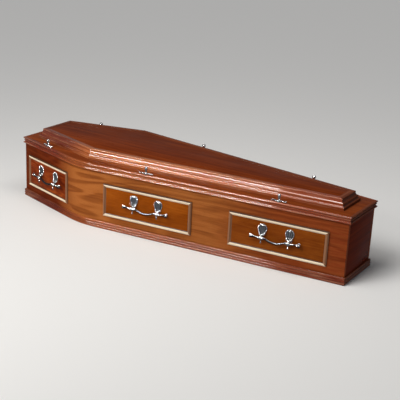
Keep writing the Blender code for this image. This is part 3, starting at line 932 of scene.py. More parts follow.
def board_mesh(
    name: str, corners: Sequence[Vector], levels: Range, rounding: float, number: float, along: Vector
) -> Mesh:
    """Make a flat board with rounded edges.

    Args:
        name: Name of the mesh.
        corners: Corners of its plan.
        levels: Heights of its underside and of its top.
        rounding: Width of the rounding of its edges.
        number: The piece's own number, which shifts its grain.
        along: Level direction of the grain.

    Returns:
        The mesh.
    """
    bottom, top = levels
    shape = bmesh.new()
    face = shape.faces.new([shape.verts.new((corner[0], corner[1], bottom)) for corner in corners])
    raised = bmesh.ops.extrude_face_region(shape, geom=[face])["geom"]
    fresh = [item for item in raised if isinstance(item, bmesh.types.BMVert)]
    bmesh.ops.translate(shape, verts=fresh, vec=(0, 0, top - bottom))
    round_edges(shape, rounding)
    write_grain(shape, along, number)
    return close_mesh(shape, name)


def write_grain(shape: Shape, along: Vector, number: float) -> None:
    """Write a straight grain through a solid.

    Args:
        shape: The bmesh that gets the attribute.
        along: Level direction of the grain.
        number: The piece's own number.
    """
    grain = shape.verts.layers.float_vector.new(GRAIN)
    sideways = Vector((-along.y, along.x, 0))
    for vertex in shape.verts:
        across = vertex.co.dot(sideways) + vertex.co.z
        vertex[grain] = (vertex.co.dot(along), across, number)


def place_object(name: str, data: bpy.types.ID) -> bpy.types.Object:
    """Make an object and put it in the scene.

    Args:
        name: Name of the object.
        data: Its mesh, lamp or camera.

    Returns:
        The object.
    """
    item = bpy.data.objects.new(name, data)
    bpy.context.scene.collection.objects.link(item)
    return item


def add_piece(
    name: str,
    mesh: Mesh,
    material: Material,
    nodes: Sequence[str],
    body: str = ROOT_BODY,
    place: Matrix | None = None,
) -> None:
    """Put a finished piece in the scene in place of its nodes.

    Args:
        name: Name of the piece.
        mesh: Its mesh, which is copied where a place is given.
        material: Its finish.
        nodes: Names of the solids that it stands for.
        body: Body that carries it.
        place: Where it stands, or None where its mesh is already in place.
    """
    if place is not None:
        mesh = mesh.copy()
        mesh.transform(place)
    mesh.materials.append(material)
    piece = place_object(name, mesh)
    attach(piece, body)
    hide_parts(*nodes)
    LOG.info("%s: %d faces on %s", name, len(mesh.polygons), body)


def far_copy(mesh: Mesh, name: str, number: float) -> Mesh:
    """Mirror a mesh to the far side, with other grain.

    Args:
        mesh: Mesh of the near side.
        name: Name of the copy.
        number: The copy's own number, added to its grain's.

    Returns:
        The copy.
    """
    copy = mesh.copy()
    copy.name = name
    copy.transform(Matrix.Scale(-1, 4, (0, 1, 0)))
    copy.flip_normals()
    layer = copy.attributes[GRAIN].data
    values = read_values(layer, "vector", 3, np.float32)
    values[:, 2] += number
    layer.foreach_set("vector", values.ravel())
    return copy


def both_sides(near: Sequence[Sequence[float]]) -> list[Vector]:
    """Give the near side's points of a plan and then their mirror images, back from the foot."""
    return [Vector(point) for point in near] + [Vector((x, -y)) for x, y in reversed(near)]


@dataclass(frozen=True)
class Plan:
    """Six-sided plan of the lid's outer edge, with bent shoulders."""

    length: float = 1.960
    head_width: float = 0.356
    shoulder_width: float = 0.648
    foot_width: float = 0.304
    shoulder_from_head: float = 0.518
    shoulder_radius: float = 0.471
    overhang: float = 0.010
    bend_steps: int = 18

    def corner(self, inset: float, index: int) -> Vector:
        """Find a corner of the plan at an inset.

        Args:
            inset: Distance inwards.
            index: Number of the corner, which is its edge's.

        Returns:
            The corner.
        """
        start, along = self.line(inset, index - 1)
        other, across = self.line(inset, index)
        gap = other - start
        reach = (gap.x * across.y - gap.y * across.x) / (along.x * across.y - along.y * across.x)
        return start + along * reach

    def line(self, inset: float, index: int) -> tuple[Vector, Vector]:
        """Give an edge's line at an inset.

        Args:
            inset: Distance inwards.
            index: Number of the edge, which may run past the last one.

        Returns:
            A point of the line and the line's direction.
        """
        head, foot = -self.length / 2, self.length / 2
        shoulder = head + self.shoulder_from_head
        widths = ((head, self.head_width), (shoulder, self.shoulder_width), (foot, self.foot_width))
        outer = both_sides([(x, -width / 2) for x, width in widths])
        start, end = outer[index % len(Edge)], outer[(index + 1) % len(Edge)]
        along = (end - start).normalized()
        return start + Vector((-along.y, along.x)) * inset, along

    def direction(self, edge: Edge) -> Vector:
        """Give an edge's unit direction."""
        return self.line(0, edge.value)[1]

    def across_at(self, inset: float, x: float) -> float:
        """Give the half width at an inset and a place.

        Args:
            inset: Distance inwards.
            x: Place along the length.

        Returns:
            The half width between the sides' straight edges.
        """
        shoulder = self.corner(inset, Edge.NEAR_LONG.value)
        along = self.direction(Edge.NEAR_SHORT if x < shoulder.x else Edge.NEAR_LONG)
        return -(shoulder.y + along.y * (x - shoulder.x) / along.x)

    @property
    def turn(self) -> float:
        """Angle of the bend at the shoulder, in radians."""
        first, second = self.direction(Edge.NEAR_SHORT), self.direction(Edge.NEAR_LONG)
        return second.angle_signed(first)

    @property
    def bend_centre(self) -> Vector:
        """Centre of the near shoulder's bend."""
        return self.corner(self.shoulder_radius, Edge.NEAR_LONG.value)

    def bend_point(self, inset: float, share: float) -> Vector:
        """Give a point of the near shoulder's bend.

        Args:
            inset: Distance inwards.
            share: How far through the bend, from 0 at the head's end to 1.

        Returns:
            The point.
        """
        along = self.direction(Edge.NEAR_SHORT)
        spoke = Vector((along.y, -along.x)) * (self.shoulder_radius - inset)
        return self.bend_centre + Matrix.Rotation(self.turn * share, 2) @ spoke

    @property
    def bend_length(self) -> float:
        """Length round the bend, at the face of the side."""
        return self.turn * (self.shoulder_radius - self.overhang)

    def distance(self, edge: Edge, point: Vector) -> float:
        """Measure along a run.

        Args:
            edge: Edge that the run follows.
            point: Point of the plan.

        Returns:
            The distance, from the start of the bend on the sides and else from the edge's corner.
        """
        along = self.direction(edge)
        if edge is Edge.NEAR_SHORT:
            return (point - self.bend_point(0, 0)).dot(along)
        if edge is Edge.NEAR_LONG:
            return self.bend_length + (point - self.bend_point(0, 1)).dot(along)
        return (point - self.corner(0, edge.value)).dot(along)

    def mitre(self, edge: Edge, corner: int, gap: float) -> Cut:
        """Cut an edge's run at the mitre of a corner.

        Args:
            edge: Edge that the run follows.
            corner: Number of the corner, the edge's own or the next.
            gap: Distance that the cut is held back.

        Returns:
            The cut.
        """
        back = self.direction(edge) * (gap if corner == edge.value else -gap)

        def cut(inset: float) -> Vector:
            """Place one inset on the mitre."""
            point = self.corner(inset, corner) + back
            return Vector((point.x, point.y, self.distance(edge, point)))

        return cut

    def square(self, edge: Edge, x: float) -> Cut:
        """Cut a side's run square across the length.

        Args:
            edge: Edge that the run follows.
            x: Place of the cut along the length.

        Returns:
            The cut.
        """

        def cut(inset: float) -> Vector:
            """Place one inset on the square cut."""
            point = Vector((x, -self.across_at(inset, x)))
            return Vector((point.x, point.y, self.distance(edge, point)))

        return cut

    def bend(self, share: float) -> Cut:
        """Cut the near side's run across its bend.

        Args:
            share: How far through the bend, from 0 at the head's end to 1.

        Returns:
            The cut.
        """

        def cut(inset: float) -> Vector:
            """Place one inset on the spoke."""
            point = self.bend_point(inset, share)
            return Vector((point.x, point.y, self.bend_length * share))

        return cut

    def near_run(self, head: Cut, foot: Cut) -> list[Cut]:
        """Give every cut of the near side, from its head end round the shoulder to its foot end."""
        bends = [self.bend(step / self.bend_steps) for step in range(self.bend_steps + 1)]
        return [head, *bends, foot]

    def edge_run(self, edge: Edge, gap: float) -> list[Cut]:
        """Give both mitred cuts of one edge."""
        return [self.mitre(edge, edge.value, gap), self.mitre(edge, edge.value + 1, gap)]


PLAN = Plan()
JOINT_GAP = 0.00006
ARRIS = 0.0007
MEMBER_SHIFT = 0.7

# Numbers that shift the grain of each piece, and the steps between pieces of one kind
NEAR_SIDE_GRAIN, FAR_SIDE_GRAIN, END_GRAIN = 3.0, 11.0, 5.0
PLINTH_GRAIN, LID_EDGE_GRAIN, LID_FRAME_GRAIN, FAR_RUN_GRAIN = 21.0, 45.0, 61.0, 7.0
LID_BOARD_GRAIN, TOP_PANEL_GRAIN = 41.0, 83.0
PANEL_GRAIN, PANEL_GRAIN_STEP, FAR_PANEL_GRAIN = 101.0, 9.0, 60.0
GRAIN_STEP = 3.0


@dataclass
class Carcase:
    """The box: bent sides, ends between them and the bottom board."""

    plan: Plan = PLAN
    height: float = 0.3050
    wall: float = 0.016
    base_gap: float = 0.0003

    def section(self) -> Section:
        """Give the side board's section."""
        outer, inner = self.plan.overhang, self.plan.overhang + self.wall
        return soften([(outer, 0), (outer, self.height), (inner, self.height), (inner, 0)], ARRIS)

    def end_corners(self, x: float, inner_x: float) -> list[Vector]:
        """Give the plan of an end board, which stands between the sides."""
        inset = self.plan.overhang + self.wall + self.base_gap
        return both_sides([(place, -self.plan.across_at(inset, place)) for place in (x, inner_x)])

    def build(self) -> None:
        """Build and dress the sides and ends, and dress the bottom board."""
        side_wood, end_wood = SIDE_WOOD.material(), SHADED_END_WOOD.material()
        reach = self.plan.length / 2 - self.plan.overhang
        head = self.plan.square(Edge.NEAR_SHORT, -reach)
        foot = self.plan.square(Edge.NEAR_LONG, reach)
        near = run_mesh("side_near", self.section(), self.plan.near_run(head, foot), NEAR_SIDE_GRAIN)
        add_piece("side_near_veneered", near, side_wood, ["side_board_near"])
        far = far_copy(near, "side_far", FAR_SIDE_GRAIN)
        add_piece("side_far_veneered", far, side_wood, ["side_board_far"])
        for name, x in (("head_board", -reach), ("foot_board", reach)):
            corners = self.end_corners(x, x - math.copysign(self.wall, x))
            number = END_GRAIN + x
            board = board_mesh(name, corners, (0, self.height), ARRIS, number, Vector((0, 1, 0)))
            add_piece(name + "_veneered", board, end_wood, [name])
        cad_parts["base_board"].data.materials.clear()
        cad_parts["base_board"].data.materials.append(INSIDE_WOOD.material())


@dataclass
class Plinth:
    """The reeded moulding round the foot of the box."""

    plan: Plan = PLAN
    projection: float = 0.008
    height: float = 0.038
    reeds: int = 3
    quirk: float = 0.003
    gap: float = 0.0003
    reed_steps: int = 10

    def section(self) -> Section:
        """Give the moulding's section.

        Returns:
            Its points, with half rounds one above the other.
        """
        back = self.plan.overhang - self.gap
        front = self.plan.overhang - self.projection
        reed = self.height / self.reeds
        points: Section = [(back, 0)]
        for index in range(self.reeds):
            for step in range(1 if index else 0, self.reed_steps + 1):
                share = step / self.reed_steps
                out = math.sqrt(1 - (2 * share - 1) ** 2)
                points.append((front + self.quirk * (1 - out), (index + share) * reed))
        points.append((back, self.height))
        return points

    def build(self) -> None:
        """Build and dress the four lengths."""
        add_mouldings("plinth", self.section(), PLINTH_WOOD.material(), PLINTH_GRAIN)


def add_mouldings(stem: str, section: Section, wood: Material, number: float) -> None:
    """Run a moulding all round the plan, mitred at the four end corners.

    Args:
        stem: First part of the nodes' names.
        section: The moulding's section.
        wood: Finish of the two long sides' lengths.
        number: Number that shifts the grain of the first length.
    """
    # The end lengths take the darker moulding finish, painted shade.
    end_wood = SHADED_END_MOULDING_WOOD.material()
    head = PLAN.mitre(Edge.NEAR_SHORT, 0, JOINT_GAP)
    foot = PLAN.mitre(Edge.NEAR_LONG, 2, JOINT_GAP)
    near = run_mesh(stem + "_near_run", section, PLAN.near_run(head, foot), number)
    add_piece(stem + "_near_run", near, wood, [stem + "_near"])
    far = far_copy(near, stem + "_far_run", FAR_RUN_GRAIN)
    add_piece(stem + "_far_run", far, wood, [stem + "_far"])
    for index, edge in enumerate((Edge.FOOT, Edge.HEAD), 1):
        label = f"{stem}_{edge.name.lower()}"
        mesh = run_mesh(label + "_run", section, PLAN.edge_run(edge, JOINT_GAP), number + index * GRAIN_STEP)
        add_piece(label + "_run", mesh, end_wood, [label])


@dataclass
class Lid:
    """The lid: a board with a moulded edge, and the raised top on it."""

    plan: Plan = PLAN
    underside: float = 0.3053
    edge_height: float = 0.0343
    edge_width: float = 0.030
    board_thickness: float = 0.018
    rebate: float = 0.012
    bead: float = 0.0045
    hollow_depth: float = 0.0072
    fillet_up: float = 0.0189
    fillet_width: float = 0.002
    fillet_depth: float = 0.0027
    groove_depth: float = 0.0059
    quirk: float = 0.0015
    raised_inset: float = 0.066
    raised_height: float = 0.0497
    step_height: float = 0.011
    moulding_run: float = 0.022
    border_width: float = 0.026
    top_rebate: float = 0.008
    panel_thickness: float = 0.012
    panel_sink: float = 0.0005
    raised_bead: float = 0.0030
    middle_bead_run: float = 0.0121
    middle_bead_rise: float = 0.0163
    small_bead: float = 0.8
    tuck: float = 0.6
    lip: float = 0.0006
    edge_step: float = 0.001
    low_step: float = 0.0012
    upper_step: float = 0.0008
    hollow_sag: float = -0.0028
    upper_sag: float = -0.0026
    easing: float = 0.0005
    curve_steps: int = 8
    gap: float = 0.0003

    @property
    def top(self) -> float:
        """Height of the lid's flange."""
        return self.underside + self.edge_height

    @property
    def raised_top(self) -> float:
        """Height of the raised top."""
        return self.top + self.raised_height

    def edge_section(self) -> Section:
        """Give the section of the lid's edge.

        Returns:
            Its points: bead, hollow, fillet, groove and bead, and a rebate behind.
        """
        bead, low = self.bead, self.underside
        ledge = self.top - self.board_thickness - self.gap
        fillet = low + self.fillet_up
        over = fillet + self.fillet_width
        points: Section = [(self.edge_width, low)]
        points += arc((bead, low + bead), bead, 270, 90, 12)
        start = (bead + self.edge_step, low + 2 * bead + self.lip)
        points += bowed(start, (self.fillet_depth, fillet - self.lip), self.hollow_sag, self.curve_steps)
        points += [(self.fillet_depth, fillet), (self.fillet_depth, over)]
        points += [(self.groove_depth, over + self.quirk), (self.groove_depth, self.top - 2 * bead)]
        points += arc((bead, self.top - bead), bead, 225, 90, 9)
        points += [(self.rebate, self.top), (self.rebate, ledge), (self.edge_width, ledge)]
        return soften(points, self.easing, steps=2, sharper_than=40)

    def raised_section(self) -> Section:
        """Give the raised moulding's section.

        Returns:
            Its points: beads, coves, a nosing and a flat border.
        """
        bead, small = self.raised_bead, self.raised_bead * self.small_bead
        inset, low, high = self.raised_inset, self.top + self.gap, self.raised_top
        step = low + self.step_height
        nosing = inset + self.moulding_run
        border = nosing + self.border_width
        ledge = high - self.panel_sink - self.panel_thickness - self.gap
        half_run, half_rise = inset + self.middle_bead_run, step + self.middle_bead_rise
        points: Section = [(border + self.top_rebate, low), (inset, low)]
        points += arc((inset + bead, step), bead, 200, 90, 7)
        start = (inset + bead + self.low_step, step + bead)
        end = (half_run - small, half_rise - bead * self.tuck)
        points += bowed(start, end, self.hollow_sag, self.curve_steps)
        points += arc((half_run, half_rise), small, 200, 90, 6)
        start = (half_run + self.upper_step, half_rise + small)
        end = (nosing - bead * self.tuck, high - bead * (1 + self.tuck))
        points += bowed(start, end, self.upper_sag, self.curve_steps)
        points += arc((nosing + bead * (1 - self.tuck), high - bead), bead, 195, 90, 7)
        points += [(border, high), (border, ledge), (border + self.top_rebate, ledge)]
        return soften(points, self.easing, steps=2, sharper_than=45)

    def flange_corners(self) -> list[Vector]:
        """Give the plan of the lid board.

        Returns:
            Its points, with rounded shoulders.
        """
        inset = self.rebate + JOINT_GAP
        steps = self.plan.bend_steps
        bend = [self.plan.bend_point(inset, step / steps) for step in range(steps + 1)]
        return both_sides([self.plan.corner(inset, 0), *bend, self.plan.corner(inset, 2)])

    def build(self) -> None:
        """Build and dress the board, the edge, the raised moulding and the top panel."""
        sides, ends = MOULDING_WOOD.material(), SHADED_END_MOULDING_WOOD.material()
        lengthwise = Vector((1, 0, 0))
        levels = (self.top - self.board_thickness, self.top)
        flange = self.flange_corners()
        board = board_mesh("lid_flange", flange, levels, JOINT_GAP, LID_BOARD_GRAIN, lengthwise)
        add_piece("lid_flange", board, FLANGE_WOOD.material(), ["lid_board"])
        add_mouldings("lid_edge", self.edge_section(), sides, LID_EDGE_GRAIN)
        section = self.raised_section()
        for index, edge in enumerate(Edge):
            label = "lid_frame_" + edge.name.lower()
            number = LID_FRAME_GRAIN + index * GRAIN_STEP
            mesh = run_mesh(label + "_run", section, self.plan.edge_run(edge, JOINT_GAP), number)
            # Lengths off the near side take the darker moulding finish, painted shade.
            wood = sides if edge in (Edge.NEAR_LONG, Edge.NEAR_SHORT) else ends
            add_piece(label + "_run", mesh, wood, [label])
        inset = self.raised_inset + self.moulding_run + self.border_width + JOINT_GAP
        corners = [self.plan.corner(inset, edge.value) for edge in Edge]
        top = self.raised_top - self.panel_sink
        levels = (top - self.panel_thickness, top)
        panel = board_mesh("raised_panel", corners, levels, ARRIS, TOP_PANEL_GRAIN, lengthwise)
        add_piece("raised_panel", panel, TOP_WOOD.material(), ["top_panel"])


@dataclass
class SidePanel:
    """One veneered insert in its pale frame, on one side."""

    side: Side
    number: int
    plan: Plan = PLAN
    bottom: float = 0.0745
    top: float = 0.2485
    thickness: float = 0.005
    frame_width: float = 0.018
    edge_height: float = 0.006
    crown_height: float = 0.010
    # Width of the painted shade line along the upper edge of each rail.
    line_width: float = 0.0044
    fillet: float = 0.0015
    quirk: float = 0.0005
    lip: float = 0.0006
    crown_drop: float = 0.0008
    inner_rim: float = 0.0012
    crown_ends: Range = (0.62, 0.66)
    edge_shares: Triple = (0.8, 0.7, 0.6)
    sags: Range = (0.0016, -0.0008)
    easing: float = 0.0004
    margins: tuple[float, float] = (0.0400, 0.1126)
    long_margins: Triple = (0.1420, 0.2010, 0.0884)
    gap: float = 0.0003

    def stretch(self) -> tuple[Edge, float, float]:
        """Find where this panel stands.

        Returns:
            The edge, the distance to the panel along its face, and the length of the panel.
        """
        inset = self.plan.overhang
        head, shoulder, foot = (self.plan.corner(inset, index) for index in range(3))
        if self.number == 1:
            return Edge.NEAR_SHORT, self.margins[0], (shoulder - head).length - sum(self.margins)
        length = ((foot - shoulder).length - sum(self.long_margins)) / 2
        first, between, _ = self.long_margins
        return Edge.NEAR_LONG, first + (length + between) * (self.number - 2), length

    @property
    def length(self) -> float:
        """Length of the panel over its frame."""
        return self.stretch()[2]

    @property
    def label(self) -> str:
        """End of this panel's names."""
        return f"{self.side.label}_{self.number}"

    def place(self, reach: float, height: float) -> Matrix:
        """Stand something on the panel's middle, facing out.

        Args:
            reach: Distance out of the side's face.
            height: Height above the floor.

        Returns:
            A matrix whose X runs along the side and whose -Y points out of it.
        """
        edge, start, length = self.stretch()
        along = self.plan.direction(edge)
        middle = self.plan.corner(self.plan.overhang, edge.value) + along * (start + length / 2)
        turn = math.atan2(along.y, along.x)
        if self.side is Side.FAR:
            middle.y = -middle.y
            turn = math.pi - turn
        outward = Vector((math.sin(turn), -math.cos(turn)))
        spot = Vector((*(middle + outward * reach), height))
        return Matrix.Translation(spot) @ Matrix.Rotation(turn, 4, "Z")

    def frame_section(self) -> Section:
        """Give the frame's section.

        Returns:
            Its points from the outer edge inwards: fillet, crown and ogee.
        """
        width, edge, crown = self.frame_width, self.edge_height, self.crown_height
        outer, inner, foot = (edge * share for share in self.edge_shares)
        before, after = (width * share for share in self.crown_ends)
        points: Section = [(0, 0), (0, outer), (self.fillet, edge)]
        drop, (rising, falling) = self.crown_drop, self.sags
        points += bowed((self.fillet + self.quirk, edge + self.lip), (before, crown - drop), rising, 10)
        points += bowed((after, crown - 2 * drop), (width - self.inner_rim, inner), falling, 6)
        points += [(width, foot), (width, 0)]
        return soften(points, self.easing, steps=2, sharper_than=40)

    def rail_cut(self, quarter: int, end: int) -> Cut:
        """Cut one rail or stile of the frame at a corner.

        Args:
            quarter: Number of the member, from 0 at the bottom, anticlockwise.
            end: 0 for the member's first corner and 1 for its second.

        Returns:
            The cut, in the frame's own plane.
        """
        half = (self.length / 2, (self.top - self.bottom) / 2)
        signs = ((-1, -1), (1, -1), (1, 1), (-1, 1))
        along = Vector(((1, 0), (0, 1), (-1, 0), (0, -1))[quarter])
        sign = signs[(quarter + end) % 4]
        back = along * (JOINT_GAP * (1 - 2 * end))

        def cut(inset: float) -> Vector:
            """Place one inset on the mitre."""
            point = Vector((sign[0] * (half[0] - inset), sign[1] * (half[1] - inset))) + back
            return Vector((point.x, point.y, point.dot(along) + MEMBER_SHIFT * quarter))

        return cut

    def frame_mesh(self, seed: float) -> Mesh:
        """Join the four members of the frame.

        Args:
            seed: The panel's own number, which shifts its grain.

        Returns:
            The frame, its back at Y 0 and its face towards -Y.
        """
        joined = bmesh.new()
        for quarter in range(4):
            cuts = [self.rail_cut(quarter, 0), self.rail_cut(quarter, 1)]
            member = run_mesh("member", self.frame_section(), cuts, seed + quarter)
            highest = max(vertex.co.y for vertex in member.vertices)
            upright = quarter % 2
            # Painted shade: the stiles take the duller middle colour, and a dark line runs along the upper
            # edge of each rail.
            mark_painted_shade(member, lambda spot: 0.5 if upright else float(spot.y > highest - self.line_width))
            joined.from_mesh(member)
            bpy.data.meshes.remove(member)
        bmesh.ops.transform(joined, matrix=Matrix.Rotation(math.pi / 2, 4, "X"), verts=joined.verts)
        return smooth_mesh(joined, "panel_frame_" + self.label + "_run")

    def insert_mesh(self, seed: float) -> Mesh:
        """Make the insert.

        Args:
            seed: The panel's own number, which shifts its grain.

        Returns:
            The insert, its back at Y 0 and its face towards -Y.
        """
        inner = self.frame_width + JOINT_GAP
        size = (self.length - 2 * inner, self.thickness, self.top - self.bottom - 2 * inner)
        shape = block(size, (0, -self.thickness / 2, 0), ARRIS)
        write_grain(shape, Vector((1, 0, 0)), seed)
        return close_mesh(shape, "panel_" + self.label + "_veneer")

    def build(self, veneer: Material, pale: Material) -> None:
        """Build and dress the insert and its frame.

        Args:
            veneer: Finish of the insert.
            pale: Finish of the frame.
        """
        seed = PANEL_GRAIN + PANEL_GRAIN_STEP * self.number
        seed += FAR_PANEL_GRAIN if self.side is Side.FAR else 0.0
        spot = self.place(self.gap, (self.top + self.bottom) / 2)
        insert = self.insert_mesh(seed)
        add_piece(insert.name, insert, veneer, ["panel_" + self.label], place=spot)
        pale_frame = self.frame_mesh(seed)
        add_piece(pale_frame.name, pale_frame, pale, ["panel_frame_" + self.label], place=spot)


def lathe(
    stations: Sequence[tuple[Vector, float]],
    sides: int,
    lobes: int = 0,
    depths: Sequence[float] | None = None,
    squash: float = 1.0,
) -> Shape:
    """Sweep a round section along a path and close its ends.

    Args:
        stations: Centre and radius at each step of the path.
        sides: Sides of the section.
        lobes: How many lobes the section has.
        depths: Depth of the lobes at each step, as a share of the radius.
        squash: Height of the section as a share of its width.

    Returns:
        A closed bmesh.
    """
    shape = bmesh.new()
    rings = []
    outwards = (stations[-1][0] - stations[0][0]).normalized()
    for index, (centre, radius) in enumerate(stations):
        ahead = stations[min(index + 1, len(stations) - 1)][0] - stations[max(index - 1, 0)][0]
        along = ahead.normalized() if ahead.dot(outwards) > 0 else outwards
        side = along.cross(Vector((0, 1, 0)) if abs(along.y) < 0.9 else Vector((0, 0, 1))).normalized()
        up = side.cross(along)
        depth = depths[index] if depths else 0.0
        ring = []
        for step in range(sides):
            angle = math.tau * step / sides
            reach = radius * (1 + depth * math.cos(lobes * angle))
            offset = side * (math.cos(angle) * squash) + up * math.sin(angle)
            ring.append(shape.verts.new(centre + offset * reach))
        rings.append(ring)
    skin(shape, rings)
    return shape


def smooth_stations(keys: Sequence[tuple[float, float]], step: float) -> list[tuple[float, float]]:
    """Ease a value between keys.

    Args:
        keys: Places with their values, in order.
        step: Distance between two results.

    Returns:
        Places with their eased values.
    """
    eased = []
    for (start, first), (end, last) in zip(keys, keys[1:]):
        count = max(2, round((end - start) / step))
        for index in range(count):
            share = index / count
            weight = share * share * (3 - 2 * share)
            eased.append((start + (end - start) * share, first + (last - first) * weight))
    eased.append(keys[-1])
    return eased


def turned(keys: Sequence[tuple[float, float]], sides: int) -> Shape:
    """Turn a piece on an upright axis from heights with their radii, eased between them."""
    stations = [(Vector((0, 0, z)), radius) for z, radius in smooth_stations(keys, TURNED_STEP)]
    return lathe(stations, sides)


def joined_mesh(name: str, shapes: Sequence[Shape]) -> Mesh:
    """Unite closed shapes that overlap into one closed mesh.

    Args:
        name: Name of the mesh.
        shapes: The shapes, which are freed.

    Returns:
        The united mesh.
    """
    items = []
    for index, shape in enumerate(shapes):
        label = f"{name}_{index}"
        items.append(place_object(label, close_mesh(shape, label)))
    base = items[0]
    for item in items[1:]:
        union = base.modifiers.new("union", "BOOLEAN")
        union.operation = "UNION"
        union.solver = "EXACT"
        union.object = item
    graph = bpy.context.evaluated_depsgraph_get()
    mesh = bpy.data.meshes.new_from_object(base.evaluated_get(graph))
    mesh.name = name
    for item in items:
        bpy.data.objects.remove(item, do_unlink=True)
    mesh.attributes.remove(mesh.attributes[RELIEF])
    mesh.shade_smooth()
    mesh.set_sharp_from_angle(angle=math.radians(UNION_SMOOTH_ANGLE))
    mark_relief(mesh)
    return mesh


@dataclass
class Handle:
    """One swinging bar with its two shell plates, measured from the pivot line."""

    panel: SidePanel
    pivot_height: float = 0.152
    pivot_reach: float = 0.016
    plate_spacing: float = 0.138
    shifts: tuple[float, ...] = (0.009, 0.0, -0.005)
    plate_height: float = 0.064
    plate_width: float = 0.047
    plate_centre_up: float = 0.037
    rim_depth: float = 0.002
    petal_depth: float = 0.0055
    hollow_depth: float = 0.0030
    dome_depth: float = 0.0055
    petals: int = 13
    petal_floor: float = 0.25
    petal_power: float = 0.6
    swell_power: float = 0.8
    notch_power: float = 0.7
    taper: float = 0.22
    scallop: float = 0.07
    flutes: int = 7
    flute_depth: float = 0.0016
    flute_fade: float = 4.0
    fan_drop: float = 0.62
    fan_pitch: float = 2.2
    shell_sides: int = 156
    shell_rings: int = 22
    lip: Triple = (0.0, 0.0075, 0.0045)
    lip_radii: Triple = (0.0150, 0.0072, 0.0036)
    curl: Triple = (0.0125, 0.0055, 0.0085)
    curl_radii: Triple = (0.0056, 0.0050, 0.0070)
    neck_width: float = 0.011
    neck_height: float = 0.013
    neck_up: float = 0.0035
    neck_rounding: float = 0.0025
    # Painted shade on the plate and bar: how far it reaches on the oval, its least amount there, on faces
    # that look down and on the bow.
    stain_past: float = 0.04
    stain_behind: float = 0.0004
    ground: float = 0.04
    under: float = 0.50
    bow_stain: float = 0.76
    bar_under: float = 0.90
    bar_level: float = 0.45
    sleeve_length: float = 0.030
    sleeve_radius: float = 0.0094
    sleeve_end: float = 0.0066
    spindle: float = 0.0034
    clearance: float = 0.0010
    waist: float = 0.92
    barrel_ends: tuple[float, float, float] = (0.30, 0.74, 0.86)
    flare: float = 0.0006
    drop_length: float = 0.028
    drop_radius: float = 0.0052
    drop_tip: float = 0.0006
    drop_neck: Profile = ((0.003, 0.5), (0.0, 0.75))
    drop_profile: Profile = ((0.35, 0.78), (1.0, 1.0), (1.65, 0.78), (2.05, 0.48), (2.35, 0.66), (2.7, 0.45))
    bar_length: float = 0.256
    bow_sag: float = 0.0135
    bow_radius: float = 0.0058
    bow_end: float = 0.0042
    collar: float = 0.0062
    collar_play: float = 0.0008
    inner_collar: tuple[float, ...] = (0.0048, 0.0040, 0.0028, 0.0010, 0.0)
    outer_collar: tuple[float, ...] = (0.0008, 0.0022, 0.0034)
    bow_inset: float = 0.004
    bow_thinning: Range = (0.6, 0.93)
    bar_sides: int = 30
    bar_step: float = 0.0009
    finial_length: float = 0.026
    finial_radius: float = 0.0115
    finial_rise: float = 0.003
    foot_length: float = 0.0050
    foot: Profile = ((1.0, 1.0), (0.5, 1.65), (0.0, 1.10))
    # Where the painted shade rings the foot of each crown.
    foot_stain: Range = (0.78, 0.07)
    crown: Profile = ((0.12, 0.58), (0.24, 0.48), (0.46, 0.70), (0.68, 0.79), (0.88, 0.76), (1.0, 0.62))
    cup: Profile = ((0.0012, 0.42), (0.0052, 0.16))
    # Where the painted shade fills the cup of each end.
    cup_limits: Range = (0.0006, 0.006)
    cup_radius: float = 0.45
    finial_lobes: int = 5
    lobe_depth: float = 0.26
    lobe_stretch: Range = (0.30, 0.60)
    oval: float = 0.68
    # The slot over the sleeve, painted as a full shadow.
    slot_height: float = 0.0088
    slot_half: float = 0.0018
    slot_reach: float = 0.0105
    gap: float = 0.0003
    sides: int = 24

    def rim(self, angle: float) -> float:
        """Distance from the shell's centre to its smooth rim: an egg, narrower below."""
        across = self.plate_width / 2 * (1 + self.taper * math.sin(angle))
        return 1 / math.hypot(math.cos(angle) / across, math.sin(angle) / (self.plate_height / 2))

    def shell_depth(self, share: float, angle: float, x: float, z: float) -> float:
        """Depth of the shell's face in front of its back.

        Args:
            share: Distance from the centre as a share of the rim's.
            angle: Angle round the centre.
            x: Place across the shell.
            z: Height above the shell's centre.

        Returns:
            The depth.
        """
        if share > self.oval:
            swell = math.sin(math.pi * (share - self.oval) / (1 - self.oval)) ** self.swell_power
            petal = abs(math.cos(self.petals * angle / 2)) ** self.petal_power
            lobe = self.petal_floor + (1 - self.petal_floor) * petal
            return self.rim_depth + (self.petal_depth - self.rim_depth) * swell * lobe
        dome = 1 - (share / self.oval) ** 2
        flute = self.flute_depth * self.groove(x, z) * min(1, dome * self.flute_fade)
        return self.hollow_depth + (self.dome_depth - self.hollow_depth) * dome - flute

    def groove(self, x: float, z: float) -> float:
        """Tell how deep in a groove of the fan a point is, 0 to 1, by its place from the shell's centre."""
        fan = math.atan2(x, z + self.plate_height * self.fan_drop)
        return 1 - abs(math.cos(fan * self.flutes * self.fan_pitch))

    def shell(self) -> Shape:
        """Build the scalloped shell as rings from its back to its middle.

        Returns:
            The shell, closed.
        """
        back = self.pivot_reach - self.gap
        shape = bmesh.new()
        rings = []
        for level in range(-1, self.shell_rings):
            share = 1 - max(level, 0) / self.shell_rings
            ring = []
            for step in range(self.shell_sides):
                angle = math.tau * step / self.shell_sides
                notch = 1 - abs(math.cos(self.petals * angle / 2)) ** self.notch_power
                reach = self.rim(angle) * share * (1 - self.scallop * notch * share**3)
                x, z = reach * math.cos(angle), reach * math.sin(angle)
                depth = 0.0 if level < 0 else self.shell_depth(share, angle, x, z)
                ring.append(shape.verts.new((x, back - depth, self.plate_centre_up + z)))
            rings.append(ring)
        skin(shape, rings)
        return shape

